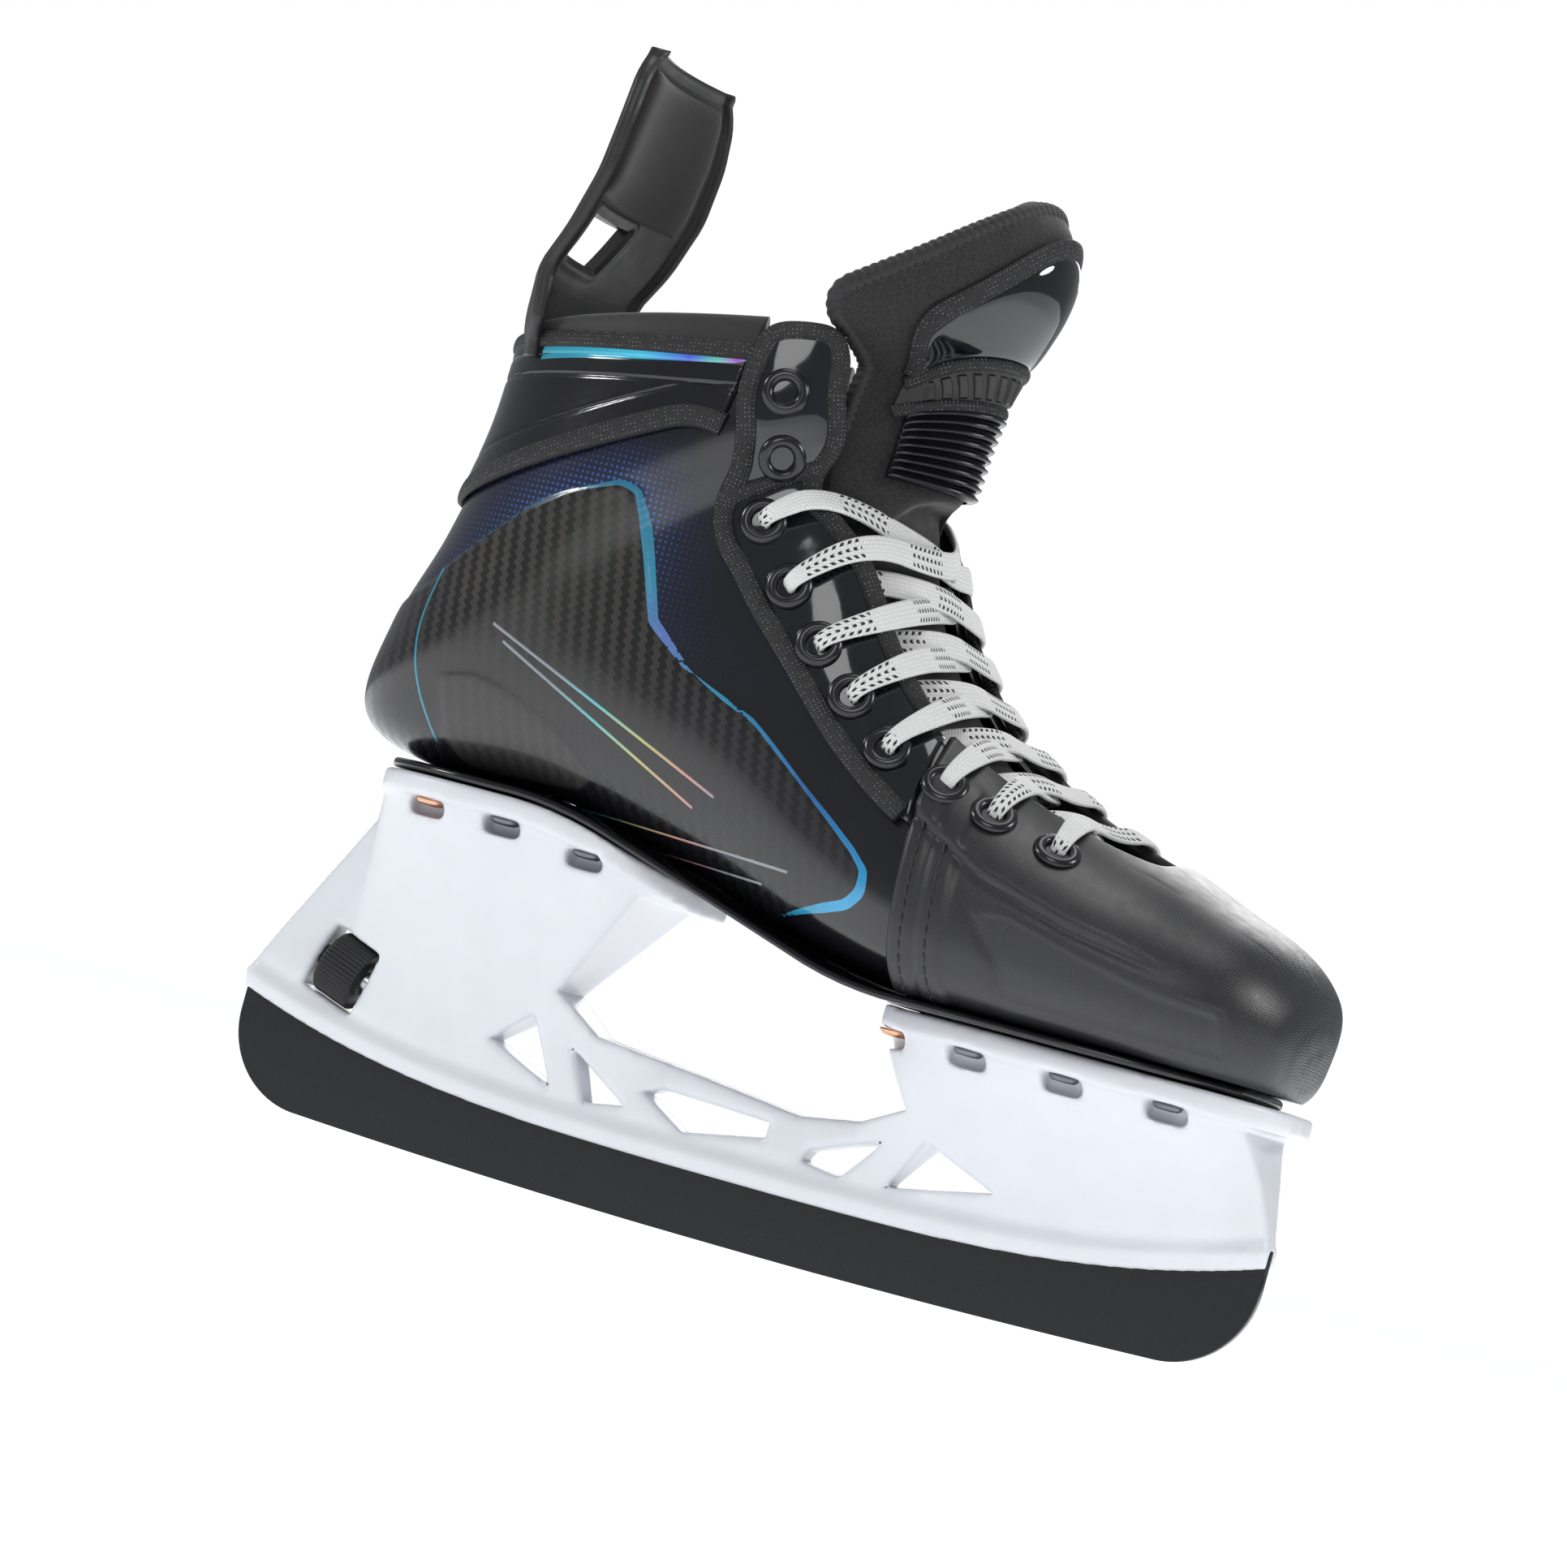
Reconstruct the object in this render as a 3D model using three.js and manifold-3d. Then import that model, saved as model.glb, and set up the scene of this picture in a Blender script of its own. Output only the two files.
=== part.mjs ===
// Ice hockey skate for the right foot: boot, laced front, tendon guard, blade holder and locked steel runner.
// X points to the toe, Y to the inner side of the foot, Z up. Millimetres. The steel stands on Z = 0.
import * as THREE from 'three';
import { mergeVertices } from 'three/addons/utils/BufferGeometryUtils.js';
import Module from 'manifold-3d';

const wasm = await Module();
wasm.setup();

// ---- Driving dimensions -------------------------------------------------------------------------------
const RUNNER_LENGTH = 296.4;
const RUNNER_THICKNESS = 3;
const ROCKER_RADIUS = 2750;
const RUNNER_END_RADIUS = 24;
const RAIL_HEIGHT = 17;            // underside of the holder above the ice at mid length
const RAIL_RISE = 16;              // how much higher that underside is at both ends
const SLOT_DEPTH = 5;
const HOLDER_HEIGHT = 73;          // top of the front flange above the ice
const HEEL_PITCH = 27;             // how much higher the rear flange is
const RAIL_HALF_WIDTH = 5;
const FLANGE_THICKNESS = 6;
const BOOT_LENGTH = 277;
const BOOT_WIDTH = 102;
const BOOT_HEIGHT = 171;           // ball sole to the front of the collar
const OUTSOLE_THICKNESS = 3;
const SHELL_WALL = 2.5;
const CAP_WALL = 2;
const FACING_WALL = 1.8;
const CUFF_WALL = 1.2;
const LINER_WALL = 3.5;
const FOAM_ROOM = 2.2;             // room between the shell, the liner and the footbed
const FOOTBED_THICKNESS = 4;
const TONGUE_THICKNESS = 7;
const EYELET_BORE = 6;
const EYELET_BARREL = 8;
const EYELET_FLANGE = 13;
const LACE_WIDTH = 7.5;
const LACE_THICKNESS = 1.6;
const RIVET_SHANK = 4;
const RIVET_HEAD = 8;
const WHEEL_DIAMETER = 18;
const WHEEL_WIDTH = 11.5;
const STUD_DIAMETER = 5;
const GAP = 0.3;                   // room between pieces that touch
const LAYER_GAP = 0.8;             // room between the curved layers of the boot and of the tongue

// ---- Scale of the last --------------------------------------------------------------------------------
const PATTERN = { length: 277, width: 102, height: 171, pitch: 27 };
const scale = {
  x: BOOT_LENGTH / PATTERN.length,
  y: BOOT_WIDTH / PATTERN.width,
  z: BOOT_HEIGHT / PATTERN.height,
};
const pitchScale = HEEL_PITCH / PATTERN.pitch;

// Flat facets stand further off a larger curve, so the room between curved layers grows with the boot
const growth = Math.max(1, scale.x, scale.y, scale.z);
const layerGap = LAYER_GAP * growth;
const foamRoom = FOAM_ROOM * growth;

// Height of the flange tops along the skate: level under the heel, a ramp at the arch, level under the ball
const RAMP = { from: -64, to: 29, ease: 12 };
function soleHeight(x) {
  const samples = [-1, -0.5, 0, 0.5, 1];
  const heights = samples.map((s) => {
    const t = (RAMP.to * scale.x - x - s * RAMP.ease) / ((RAMP.to - RAMP.from) * scale.x);
    return THREE.MathUtils.clamp(t, 0, 1) * HEEL_PITCH;
  });
  return HOLDER_HEIGHT + heights.reduce((a, b) => a + b) / samples.length;
}

// Places where the sole line bends, for solids that follow it
const SOLE_BENDS = [RAMP.from - 12, RAMP.from - 5, RAMP.from + 2, RAMP.from + 10, RAMP.to - 10, RAMP.to - 2,
  RAMP.to + 5, RAMP.to + 12].map((x) => x * scale.x);

// ---- The last: sections that fan from the toe, over the instep, to the collar --------------------------
// Each one joins a point on the sole or heel to a point on the front, both given as [x, height over the
// ball sole], with its half width, the place of its widest point, its squareness below and above that
// point, and how far its front leans to the inner side of the foot.
const SECTIONS = [
  { low: [142.5, 9], high: [143.5, 16], half: 6, widest: 0.5, square: [2, 2], lean: 3 },
  { low: [141, 5], high: [143.5, 24], half: 18, widest: 0.45, square: [2.4, 2.2], lean: 5 },
  { low: [136.5, 3.5], high: [140.5, 32], half: 29, widest: 0.42, square: [2.8, 2.4], lean: 7 },
  { low: [125, 3], high: [129, 40.5], half: 40, widest: 0.38, square: [3, 2.4], lean: 8 },
  { low: [106, 3], high: [107, 48], half: 47, widest: 0.36, square: [3, 2.3], lean: 9 },
  { low: [84, 3], high: [81, 56.5], half: 50.5, widest: 0.34, square: [3, 2.2], lean: 9 },
  { low: [62, 3], high: [55, 68.5], half: 51, widest: 0.31, square: [3, 2.2], lean: 9 },
  { low: [40, 3], high: [31.5, 86.5], half: 48.5, widest: 0.29, square: [3, 2.2], lean: 10 },
  { low: [12, 7.5], high: [15, 109], half: 44, widest: 0.31, square: [2.8, 2.3], lean: 11 },
  { low: [-28, 20], high: [8, 130], half: 41, widest: 0.35, square: [2.6, 2.5], lean: 12 },
  { low: [-72, 30], high: [6, 140], half: 39, widest: 0.4, square: [2.8, 2.6], lean: 12 },
  { low: [-110, 30.5], high: [5, 146], half: 38.5, widest: 0.44, square: [2.6, 2.6], lean: 12 },
  { low: [-133.5, 39], high: [4, 150], half: 39, widest: 0.48, square: [2.3, 2.6], lean: 12 },
  { low: [-134, 63], high: [4, 154], half: 40.5, widest: 0.5, square: [2, 2.6], lean: 12 },
  { low: [-125.5, 90], high: [3, 160], half: 41.5, widest: 0.5, square: [2, 2.6], lean: 12 },
  { low: [-119.5, 121], high: [2, 166], half: 40, widest: 0.5, square: [2, 2.6], lean: 11 },
  { low: [-118.5, 149], high: [1, 171], half: 38.5, widest: 0.5, square: [2, 2.6], lean: 10 },
];
const RIM = SECTIONS.length - 1;
const SECTION_ROWS = SECTIONS.map((s) => [
  s.low[0] * scale.x, s.low[1], s.high[0] * scale.x, s.high[1],
  s.half * scale.y, s.widest, s.square[0], s.square[1], s.lean * scale.y,
]).map(([x0, h0, x1, h1, ...rest]) => [x0, lift(x0, h0), x1, lift(x1, h1), ...rest]);

// Height over the ice of a pattern height over the ball sole: the sole follows the flanges
function lift(x, height) {
  const ramp = (soleHeight(x) - HOLDER_HEIGHT) / pitchScale;
  return soleHeight(x) + (height - ramp) * scale.z;
}

function catmull(u) {
  const at = THREE.MathUtils.clamp(u, 0, RIM);
  const k = Math.min(Math.floor(at), RIM - 1);
  const f = at - k;
  const p1 = SECTION_ROWS[k];
  const p2 = SECTION_ROWS[k + 1];
  const p0 = k > 0 ? SECTION_ROWS[k - 1] : p1.map((a, i) => 2 * a - p2[i]);
  const p3 = k + 2 <= RIM ? SECTION_ROWS[k + 2] : p2.map((a, i) => 2 * a - p1[i]);
  return p1.map((a, i) => 0.5 * (2 * a + (p2[i] - p0[i]) * f
    + (2 * p0[i] - 5 * a + 4 * p2[i] - p3[i]) * f * f + (3 * a - p0[i] - 3 * p2[i] + p3[i]) * f ** 3));
}

const girths = new Map();
const GIRTH_STEPS = 96;
// One section as a run of points [share of its girth, x, y, z], from the sole line to the front line
function girth(u) {
  const key = u.toFixed(4);
  if (girths.has(key)) return girths.get(key);
  const [x0, z0, x1, z1, half, widest, low, high, lean] = catmull(u);
  const run = [];
  for (let i = 0; i <= GIRTH_STEPS; i += 1) {
    const t = (1 - Math.cos(Math.PI * i / GIRTH_STEPS)) / 2;
    const [reach, power] = t < widest ? [(widest - t) / widest, low] : [(t - widest) / (1 - widest), high];
    const y = half * Math.max(0, 1 - reach ** power) ** (1 / power);
    const shift = lean * (Math.max(0, t - widest) / (1 - widest)) ** 2;
    run.push({ x: x0 + (x1 - x0) * t, y, z: z0 + (z1 - z0) * t, shift, along: 0 });
  }
  for (let i = 1; i < run.length; i += 1) {
    const step = Math.hypot(run[i].x - run[i - 1].x, run[i].y - run[i - 1].y, run[i].z - run[i - 1].z);
    run[i].along = run[i - 1].along + step;
  }
  const total = run[run.length - 1].along;
  run.forEach((p) => { p.along /= total; });
  girths.set(key, { run, total });
  return girths.get(key);
}

// A spot of the last: u counts the sections, v goes from 0 on the sole or heel line to 1 on the front
// line, below zero on the outer side of the foot
function spot(u, v) {
  const { run } = girth(u);
  const want = Math.min(Math.abs(v), 1);
  let i = 1;
  while (i < run.length - 1 && run[i].along < want) i += 1;
  const a = run[i - 1];
  const b = run[i];
  const f = (want - a.along) / (b.along - a.along);
  const mix = (name) => a[name] + (b[name] - a[name]) * f;
  return new THREE.Vector3(mix('x'), Math.sign(v) * mix('y') + mix('shift'), mix('z'));
}

function outward(u, v) {
  const step = 0.04;
  const mid = THREE.MathUtils.clamp(u, step, RIM - step);
  const along = spot(mid + step, v).sub(spot(mid - step, v));
  const edge = Math.abs(v) < 0.02 || Math.abs(v) > 0.98;
  const round = edge ? new THREE.Vector3(0, 1, 0) : spot(mid, v + 0.01).sub(spot(mid, v - 0.01));
  const normal = along.cross(round).normalize();
  const core = spot(mid, 0).add(spot(mid, 1)).multiplyScalar(0.5);
  if (normal.dot(spot(mid, v).sub(core)) < 0) normal.negate();
  return normal;
}

const onLast = (u, v, out = 0) => spot(u, v).addScaledVector(outward(u, v), out);

// ---- Solids -------------------------------------------------------------------------------------------
function closed(positions, index) {
  const geometry = new THREE.BufferGeometry();
  geometry.setAttribute('position', new THREE.Float32BufferAttribute(positions.flatMap((p) => [p.x, p.y, p.z]), 3));
  let volume = 0;
  for (let i = 0; i < index.length; i += 3) {
    const [a, b, c] = [positions[index[i]], positions[index[i + 1]], positions[index[i + 2]]];
    volume += a.dot(b.clone().cross(c));
  }
  geometry.setIndex(volume < 0 ? index.slice().reverse() : index);
  return geometry;
}

// A curved sheet with a wall: grid holds rows of [outer point, inner point]; ends may close to a pole
// and its columns may close to a ring
function sheet(grid, { pole = false, ring = false } = {}) {
  const rows = grid.length;
  const cols = grid[0].length;
  const positions = [];
  const index = [];
  const put = (p) => positions.push(p) - 1;
  const ids = grid.map((row, i) => {
    if (pole && i === 0) {
      const mean = (side) => row.reduce((a, p) => a.add(p[side]), new THREE.Vector3()).divideScalar(cols);
      const tip = [put(mean(0)), put(mean(1))];
      return row.map(() => tip);
    }
    return row.map((pair) => [put(pair[0]), put(pair[1])]);
  });
  const face = (a, b, c) => {
    if (a !== b && b !== c && c !== a) index.push(a, b, c);
  };
  const quad = (a, b, c, d) => {
    face(a, b, c);
    face(a, c, d);
  };
  const last = ring ? cols : cols - 1;
  for (let i = 0; i < rows - 1; i += 1) {
    for (let j = 0; j < last; j += 1) {
      const k = (j + 1) % cols;
      quad(ids[i][j][0], ids[i][k][0], ids[i + 1][k][0], ids[i + 1][j][0]);
      quad(ids[i][j][1], ids[i + 1][j][1], ids[i + 1][k][1], ids[i][k][1]);
    }
    if (!ring) {
      quad(ids[i][0][1], ids[i][0][0], ids[i + 1][0][0], ids[i + 1][0][1]);
      quad(ids[i][last][0], ids[i][last][1], ids[i + 1][last][1], ids[i + 1][last][0]);
    }
  }
  for (let j = 0; j < last; j += 1) {
    const k = (j + 1) % cols;
    if (!pole) quad(ids[0][j][0], ids[0][j][1], ids[0][k][1], ids[0][k][0]);
    quad(ids[rows - 1][j][0], ids[rows - 1][k][0], ids[rows - 1][k][1], ids[rows - 1][j][1]);
  }
  return closed(positions, index);
}

const steps = (count, from = 0, to = 1) => Array.from({ length: count + 1 }, (_, i) => from + (to - from) * i / count);

// A panel of the boot: place(i, j) gives [u, v] for i along and j round, both from 0 to 1
function panel(rows, cols, place, outer, inner) {
  return sheet(steps(rows).map((i) => steps(cols).map((j) => {
    const [u, v] = place(i, j);
    return [onLast(u, v, outer), onLast(u, v, inner)];
  })));
}

function solid(geometry) {
  const bare = geometry.clone();
  bare.deleteAttribute('normal');
  bare.deleteAttribute('uv');
  const merged = mergeVertices(bare, 1e-5);
  return new wasm.Manifold(new wasm.Mesh({
    numProp: 3,
    vertProperties: new Float32Array(merged.attributes.position.array),
    triVerts: new Uint32Array(merged.index.array),
  }));
}

function geometryOf(body) {
  const mesh = body.getMesh();
  const geometry = new THREE.BufferGeometry();
  geometry.setAttribute('position', new THREE.Float32BufferAttribute(mesh.vertProperties, 3));
  geometry.setIndex(Array.from(mesh.triVerts));
  return geometry;
}

const cut = (body, ...tools) => tools.reduce((left, tool) => left.subtract(tool), body);
const join = (body, ...more) => more.reduce((left, tool) => left.add(tool), body);

// An outline in the side view, pushed out to both sides of the middle plane
function slab(points, halfWidth, holes = []) {
  const shape = new THREE.Shape(points.map(([x, z]) => new THREE.Vector2(x, z)));
  shape.holes = holes.map((hole) => new THREE.Path(hole.map(([x, z]) => new THREE.Vector2(x, z))));
  const geometry = new THREE.ExtrudeGeometry(shape, { depth: 2 * halfWidth, bevelEnabled: false });
  geometry.rotateX(Math.PI / 2);
  geometry.translate(0, halfWidth, 0);
  return geometry;
}

function rod(radius, length, at, direction, sides = 16) {
  const geometry = new THREE.CylinderGeometry(radius, radius, length, sides);
  const turn = new THREE.Quaternion().setFromUnitVectors(new THREE.Vector3(0, 1, 0), direction);
  return geometry.applyQuaternion(turn).translate(at.x, at.y, at.z);
}

// A solid between two height functions over a plan outline that is even about the middle plane
function layer(xs, halfWidth, bottom, top, cols = 4) {
  return sheet(xs.map((x) => steps(cols, -1, 1).map((s) => {
    const y = halfWidth(x) * s;
    return [new THREE.Vector3(x, y, top(x)), new THREE.Vector3(x, y, bottom(x))];
  })));
}

const object = new THREE.Group();
function add(name, geometry, color, roughness = 0.5, metalness = 0) {
  const body = geometry.isBufferGeometry ? geometry : geometryOf(geometry);
  const mesh = new THREE.Mesh(body, new THREE.MeshStandardMaterial({ color, roughness, metalness }));
  mesh.name = name;
  object.add(mesh);
  return mesh;
}

// ---- Runner -------------------------------------------------------------------------------------------
const half = RUNNER_LENGTH / 2;
const railLine = (x) => RAIL_HEIGHT + RAIL_RISE * Math.abs(x / half) ** 3.2;
const edgeLine = (x) => ROCKER_RADIUS - Math.sqrt(ROCKER_RADIUS ** 2 - x ** 2);
const seatLine = (x) => railLine(x) + SLOT_DEPTH;
const REAR_POST = { from: -105, to: -92, top: 44 };
const FRONT_POST = { from: 112, to: 127, top: 48 };
const RUNNER_STEPS = 18;

// Outline of the steel grown by a clearance, with its two posts
function runnerOutline(grow) {
  const end = half - RUNNER_END_RADIUS;
  const lowerFront = steps(6, 0, Math.PI / 2).map((a) => [
    end + RUNNER_END_RADIUS * Math.sin(a),
    edgeLine(end) + RUNNER_END_RADIUS * (1 - Math.cos(a)),
  ]);
  const bottom = steps(12, -end, end).map((x) => [x, edgeLine(x)]);
  const lowerRear = lowerFront.map(([x, z]) => [-x, z]).reverse();
  const top = steps(RUNNER_STEPS, half, -half).flatMap((x) => [[x, seatLine(x) - GAP + grow]]);
  const posts = [FRONT_POST, REAR_POST].map((post) => [
    [post.to + grow, seatLine(post.to) - GAP + grow], [post.to + grow, post.top + grow],
    [post.from - grow, post.top + grow], [post.from - grow, seatLine(post.from) - GAP + grow],
  ]);
  const inPost = (x) => [FRONT_POST, REAR_POST].some((p) => x > p.from - grow - 1 && x < p.to + grow + 1);
  const upper = top.filter(([x]) => !inPost(x)).concat(posts.flat()).sort((a, b) => b[0] - a[0]);
  posts.forEach((corners) => {
    const order = corners.map((c) => upper.indexOf(c)).sort((a, b) => a - b);
    order.forEach((place, i) => { upper[place] = corners[i]; });
  });
  return [...lowerRear, ...bottom.slice(1, -1), ...lowerFront, ...upper];
}
add('runner', slab(runnerOutline(0), RUNNER_THICKNESS / 2), 0x0d0e10, 0.35, 0.8);

// ---- Blade holder -------------------------------------------------------------------------------------
const oval = (x, centre, reach, power) => Math.max(0, 1 - Math.abs((x - centre) / reach) ** power) ** (1 / 2.3);
const REAR_FLANGE = { centre: -73 * scale.x, reach: 50 * scale.x, half: 31 * scale.y, power: 3.4 };
const FRONT_FLANGE = { centre: 90 * scale.x, reach: 58 * scale.x, half: 37 * scale.y, power: 3 };
const flangeHalf = (flange, x) => flange.half * oval(x, flange.centre, flange.reach, flange.power);

// Half width of the moulding: narrow at the rail, flaring up to each flange
function towerHalf(x, z) {
  const flange = x < 0 ? REAR_FLANGE : FRONT_FLANGE;
  const foot = RAIL_HEIGHT + 9;
  const rise = THREE.MathUtils.clamp((z - foot) / (soleHeight(x) - FLANGE_THICKNESS - foot), 0, 1);
  const wide = Math.max(flangeHalf(flange, x) - 3, RAIL_HALF_WIDTH);
  return RAIL_HALF_WIDTH + (wide - RAIL_HALF_WIDTH) * rise ** 1.6;
}

function towerBody() {
  const xs = steps(18, -half - 4, half + 4);
  const top = HOLDER_HEIGHT + HEEL_PITCH + 2;
  const zs = steps(6, 8, top);
  const columns = xs.map((x) => zs.map((z) => [
    new THREE.Vector3(x, -towerHalf(x, z), z), new THREE.Vector3(x, towerHalf(x, z), z),
  ]));
  return solid(sheet(columns));
}

const heelTop = HOLDER_HEIGHT + HEEL_PITCH;
const rearTop = heelTop - FLANGE_THICKNESS / 2;
const frontTop = HOLDER_HEIGHT - FLANGE_THICKNESS / 2;
const underRail = steps(20, -half, half).map((x) => [x, railLine(x)]);
const HOLDER_OUTLINE = [
  ...underRail,
  [half, 38], [half - 5, 54], [half - 10, frontTop - 4], [half - 10, frontTop],
  [FRONT_FLANGE.centre - FRONT_FLANGE.reach + 4, frontTop],
  [36, frontTop - 4], [46, 48], [33, 42], [16, 39], [-12, 42], [-44, 45], [-57, 54],
  [-38, rearTop - 14], [REAR_FLANGE.centre + REAR_FLANGE.reach - 4, rearTop - 10],
  [REAR_FLANGE.centre + REAR_FLANGE.reach - 8, rearTop - 4], [-60, rearTop],
  [REAR_FLANGE.centre - REAR_FLANGE.reach + 3, rearTop], [-122, 88], [-half + 7, 52], [-half, 38],
];
const WINDOWS = [
  [[-74, 37], [-63, 46], [-55, 29]],
  [[-50, 40], [-33, 29], [-44, 27]],
  [[-28, 34], [-23, 36], [8, 35], [8, 31], [-15, 26.5]],
  [[19, 27.5], [21, 31], [41, 38.5], [31, 26.5]],
  [[53, 41], [73, 33], [44, 27]],
];

// Lock: a wheel on an inclined threaded stud that presses the rear post of the steel
const LOCK_TILT = THREE.MathUtils.degToRad(18);
const lockAxis = new THREE.Vector3(Math.cos(LOCK_TILT), 0, -Math.sin(LOCK_TILT));
const lockAt = new THREE.Vector3(-121, 0, 44);
const alongLock = (distance) => lockAt.clone().addScaledVector(lockAxis, distance);
const postFace = (REAR_POST.from - GAP - lockAt.x) / lockAxis.x - STUD_DIAMETER / 2 * Math.tan(LOCK_TILT);
const studRear = -19;
const tilted = (width, height, depth) => new THREE.BoxGeometry(width, depth, height)
  .rotateY(LOCK_TILT).translate(lockAt.x, lockAt.y, lockAt.z);

const RIVET_EDGE = 7;
const rivetSpots = [
  ...[-102, -79, -54].map((x) => ({ x: x * scale.x, flange: REAR_FLANGE, row: 'rear' })),
  ...[39, 64, 91, 119].map((x) => ({ x: x * scale.x, flange: FRONT_FLANGE, row: 'front' })),
].flatMap((rivet, i) => [-1, 1].map((side) => ({
  ...rivet,
  y: side * (flangeHalf(rivet.flange, rivet.x) - RIVET_EDGE),
  name: `rivet_${rivet.row}_${side < 0 ? 'outer' : 'inner'}_${i < 3 ? i + 1 : i - 2}`,
  copper: i === 0 || i === 3,
})));
const UP = new THREE.Vector3(0, 0, 1);
const upright = (radius, x, y, z0, z1, sides = 10) => solid(
  rod(radius, z1 - z0, new THREE.Vector3(x, y, (z0 + z1) / 2), UP, sides));

function flangePlate(flange) {
  const reach = flange.reach * 0.995;
  const bends = SOLE_BENDS.filter((x) => Math.abs(x - flange.centre) < reach);
  const xs = steps(12, -1, 1).map((s) => flange.centre + reach * Math.sin(s * Math.PI / 2)).concat(bends);
  xs.sort((a, b) => a - b);
  return solid(layer(xs, (x) => flangeHalf(flange, x) + 0.01, (x) => soleHeight(x) - FLANGE_THICKNESS, soleHeight, 2));
}

const overSole = solid(layer([-170, ...SOLE_BENDS, 170], () => 80, soleHeight, () => 400, 1));
const slot = solid(slab(runnerOutline(GAP), RUNNER_THICKNESS / 2 + GAP));
const shaped = towerBody().intersect(solid(slab(HOLDER_OUTLINE, 60, WINDOWS)));
const pockets = rivetSpots.map((r) => upright(RIVET_HEAD / 2 + 1.5, r.x, r.y,
  soleHeight(r.x) - FLANGE_THICKNESS - 20, soleHeight(r.x) - FLANGE_THICKNESS));
const shankTop = (x) => soleHeight(x) + GAP + OUTSOLE_THICKNESS + 1.8;
const shankHoles = rivetSpots.map((r) => upright(RIVET_SHANK / 2 + GAP, r.x, r.y,
  soleHeight(r.x) - 20, shankTop(r.x) + GAP, 8));
const holder = cut(
  join(shaped, flangePlate(REAR_FLANGE), flangePlate(FRONT_FLANGE)),
  ...pockets,
  slot,
  solid(tilted(WHEEL_WIDTH + 5, WHEEL_DIAMETER + 0.8, 60)),
  solid(rod(STUD_DIAMETER / 2 + GAP, 60, alongLock(postFace - 30), lockAxis)),
  ...shankHoles,
  overSole,
);
add('blade_holder', holder, 0xf1f3f8, 0.35);

// ---- Lock ---------------------------------------------------------------------------------------------
function knurledWheel() {
  const teeth = 20;
  const shape = new THREE.Shape(steps(teeth * 2 - 1).map((_, i) => {
    const angle = Math.PI * i / teeth;
    const radius = WHEEL_DIAMETER / 2 - (i % 2) * 0.6;
    return new THREE.Vector2(radius * Math.cos(angle), radius * Math.sin(angle));
  }));
  shape.holes.push(new THREE.Path().absarc(0, 0, STUD_DIAMETER / 2 + GAP, 0, 2 * Math.PI, true));
  const geometry = new THREE.ExtrudeGeometry(shape, { depth: WHEEL_WIDTH, bevelEnabled: false, curveSegments: 16 });
  const turn = new THREE.Quaternion().setFromUnitVectors(new THREE.Vector3(0, 0, 1), lockAxis);
  const start = alongLock(-WHEEL_WIDTH / 2);
  return geometry.applyQuaternion(turn).translate(start.x, start.y, start.z);
}
add('lock_wheel', knurledWheel(), 0x17181a, 0.7);
const studLength = postFace - studRear;
add('lock_stud', rod(STUD_DIAMETER / 2, studLength, alongLock((postFace + studRear) / 2), lockAxis, 20), 0x8a8c90, 0.3, 1);

// ---- Boot: outsole, shell, toe cap, liner, footbed ------------------------------------------------------
const OUTSOLE = { rear: -128 * scale.x, front: 138 * scale.x };
const footHalf = (x) => {
  const heel = 33 * oval(x, -86, 46, 2.4);
  const ball = 46 * oval(x, 76, 68, 2.6);
  const waist = x > -86 && x < 76 ? 33 + 13 * THREE.MathUtils.smoothstep(x, -60, 70) : 0;
  return Math.max(heel, ball, waist);
};
const outsoleHalf = (x) => footHalf(x / scale.x) * scale.y + 0.5;
const outsoleXs = steps(16, -1, 1).map((s) => (OUTSOLE.rear + OUTSOLE.front) / 2
  + (OUTSOLE.front - OUTSOLE.rear) / 2 * Math.sin(s * Math.PI / 2)).concat(SOLE_BENDS).sort((a, b) => a - b);
const outsoleTop = (x) => soleHeight(x) + GAP + OUTSOLE_THICKNESS;
const outsole = solid(layer(outsoleXs, outsoleHalf, (x) => soleHeight(x) + GAP, outsoleTop, 2));
add('outsole', cut(outsole, ...shankHoles), 0x141518, 0.4);

// Everything under the upper face of the outsole, taken off the pieces that are lasted over it
const underSole = solid(layer([-170, ...SOLE_BENDS, 170], () => 80, () => 0, (x) => outsoleTop(x) + GAP, 1));

const CAP_REAR = 6.85;
const SHELL_FRONT = 6.3;
const CAP_THROAT = 4.45;
const COLLAR_LINE = 15.62;
const facingFront = { outer: 0.735, inner: 0.80 };
function along(table, u) {
  const k = table.findIndex(([at]) => at >= u);
  if (k <= 0) return k === 0 ? table[0][1] : table[table.length - 1][1];
  const [a, b] = [table[k - 1], table[k]];
  return a[1] + (b[1] - a[1]) * (u - a[0]) / (b[0] - a[0]);
}
const frontEdge = (u, side) => (side < 0 ? facingFront.outer : facingFront.inner)
  + 0.05 * Math.exp(-(((u - 12.6) / 1.6) ** 2));
const rearEdge = (u) => along([[6.6, 0.555], [8.4, 0.538], [9.3, 0.549], [10.5, 0.609], [12.3, 0.667],
  [13.5, 0.649], [14.7, 0.604], [16, 0.612]], u);

// Eyelets: seven in each facing and three in each wing of the toe cap
const EYELETS = [[14.44, 0.673], [12.79, 0.714], [10.93, 0.678], [9.55, 0.621], [8.78, 0.601],
  [8.14, 0.61], [7.45, 0.615], [6.62, 0.645], [6.0, 0.655], [5.25, 0.66]];
const INNER_SHIFT = 0.065;
const eyelets = [-1, 1].flatMap((side) => EYELETS.map(([u, v], i) => ({
  u, v: side * (v + (side > 0 ? INNER_SHIFT : 0)), side, number: i + 1, onCap: i >= 7,
})));
const eyeletHoles = eyelets.map((e) => solid(rod(EYELET_BARREL / 2 + 2 * GAP, 24, onLast(e.u, e.v), outward(e.u, e.v), 8)));

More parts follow.
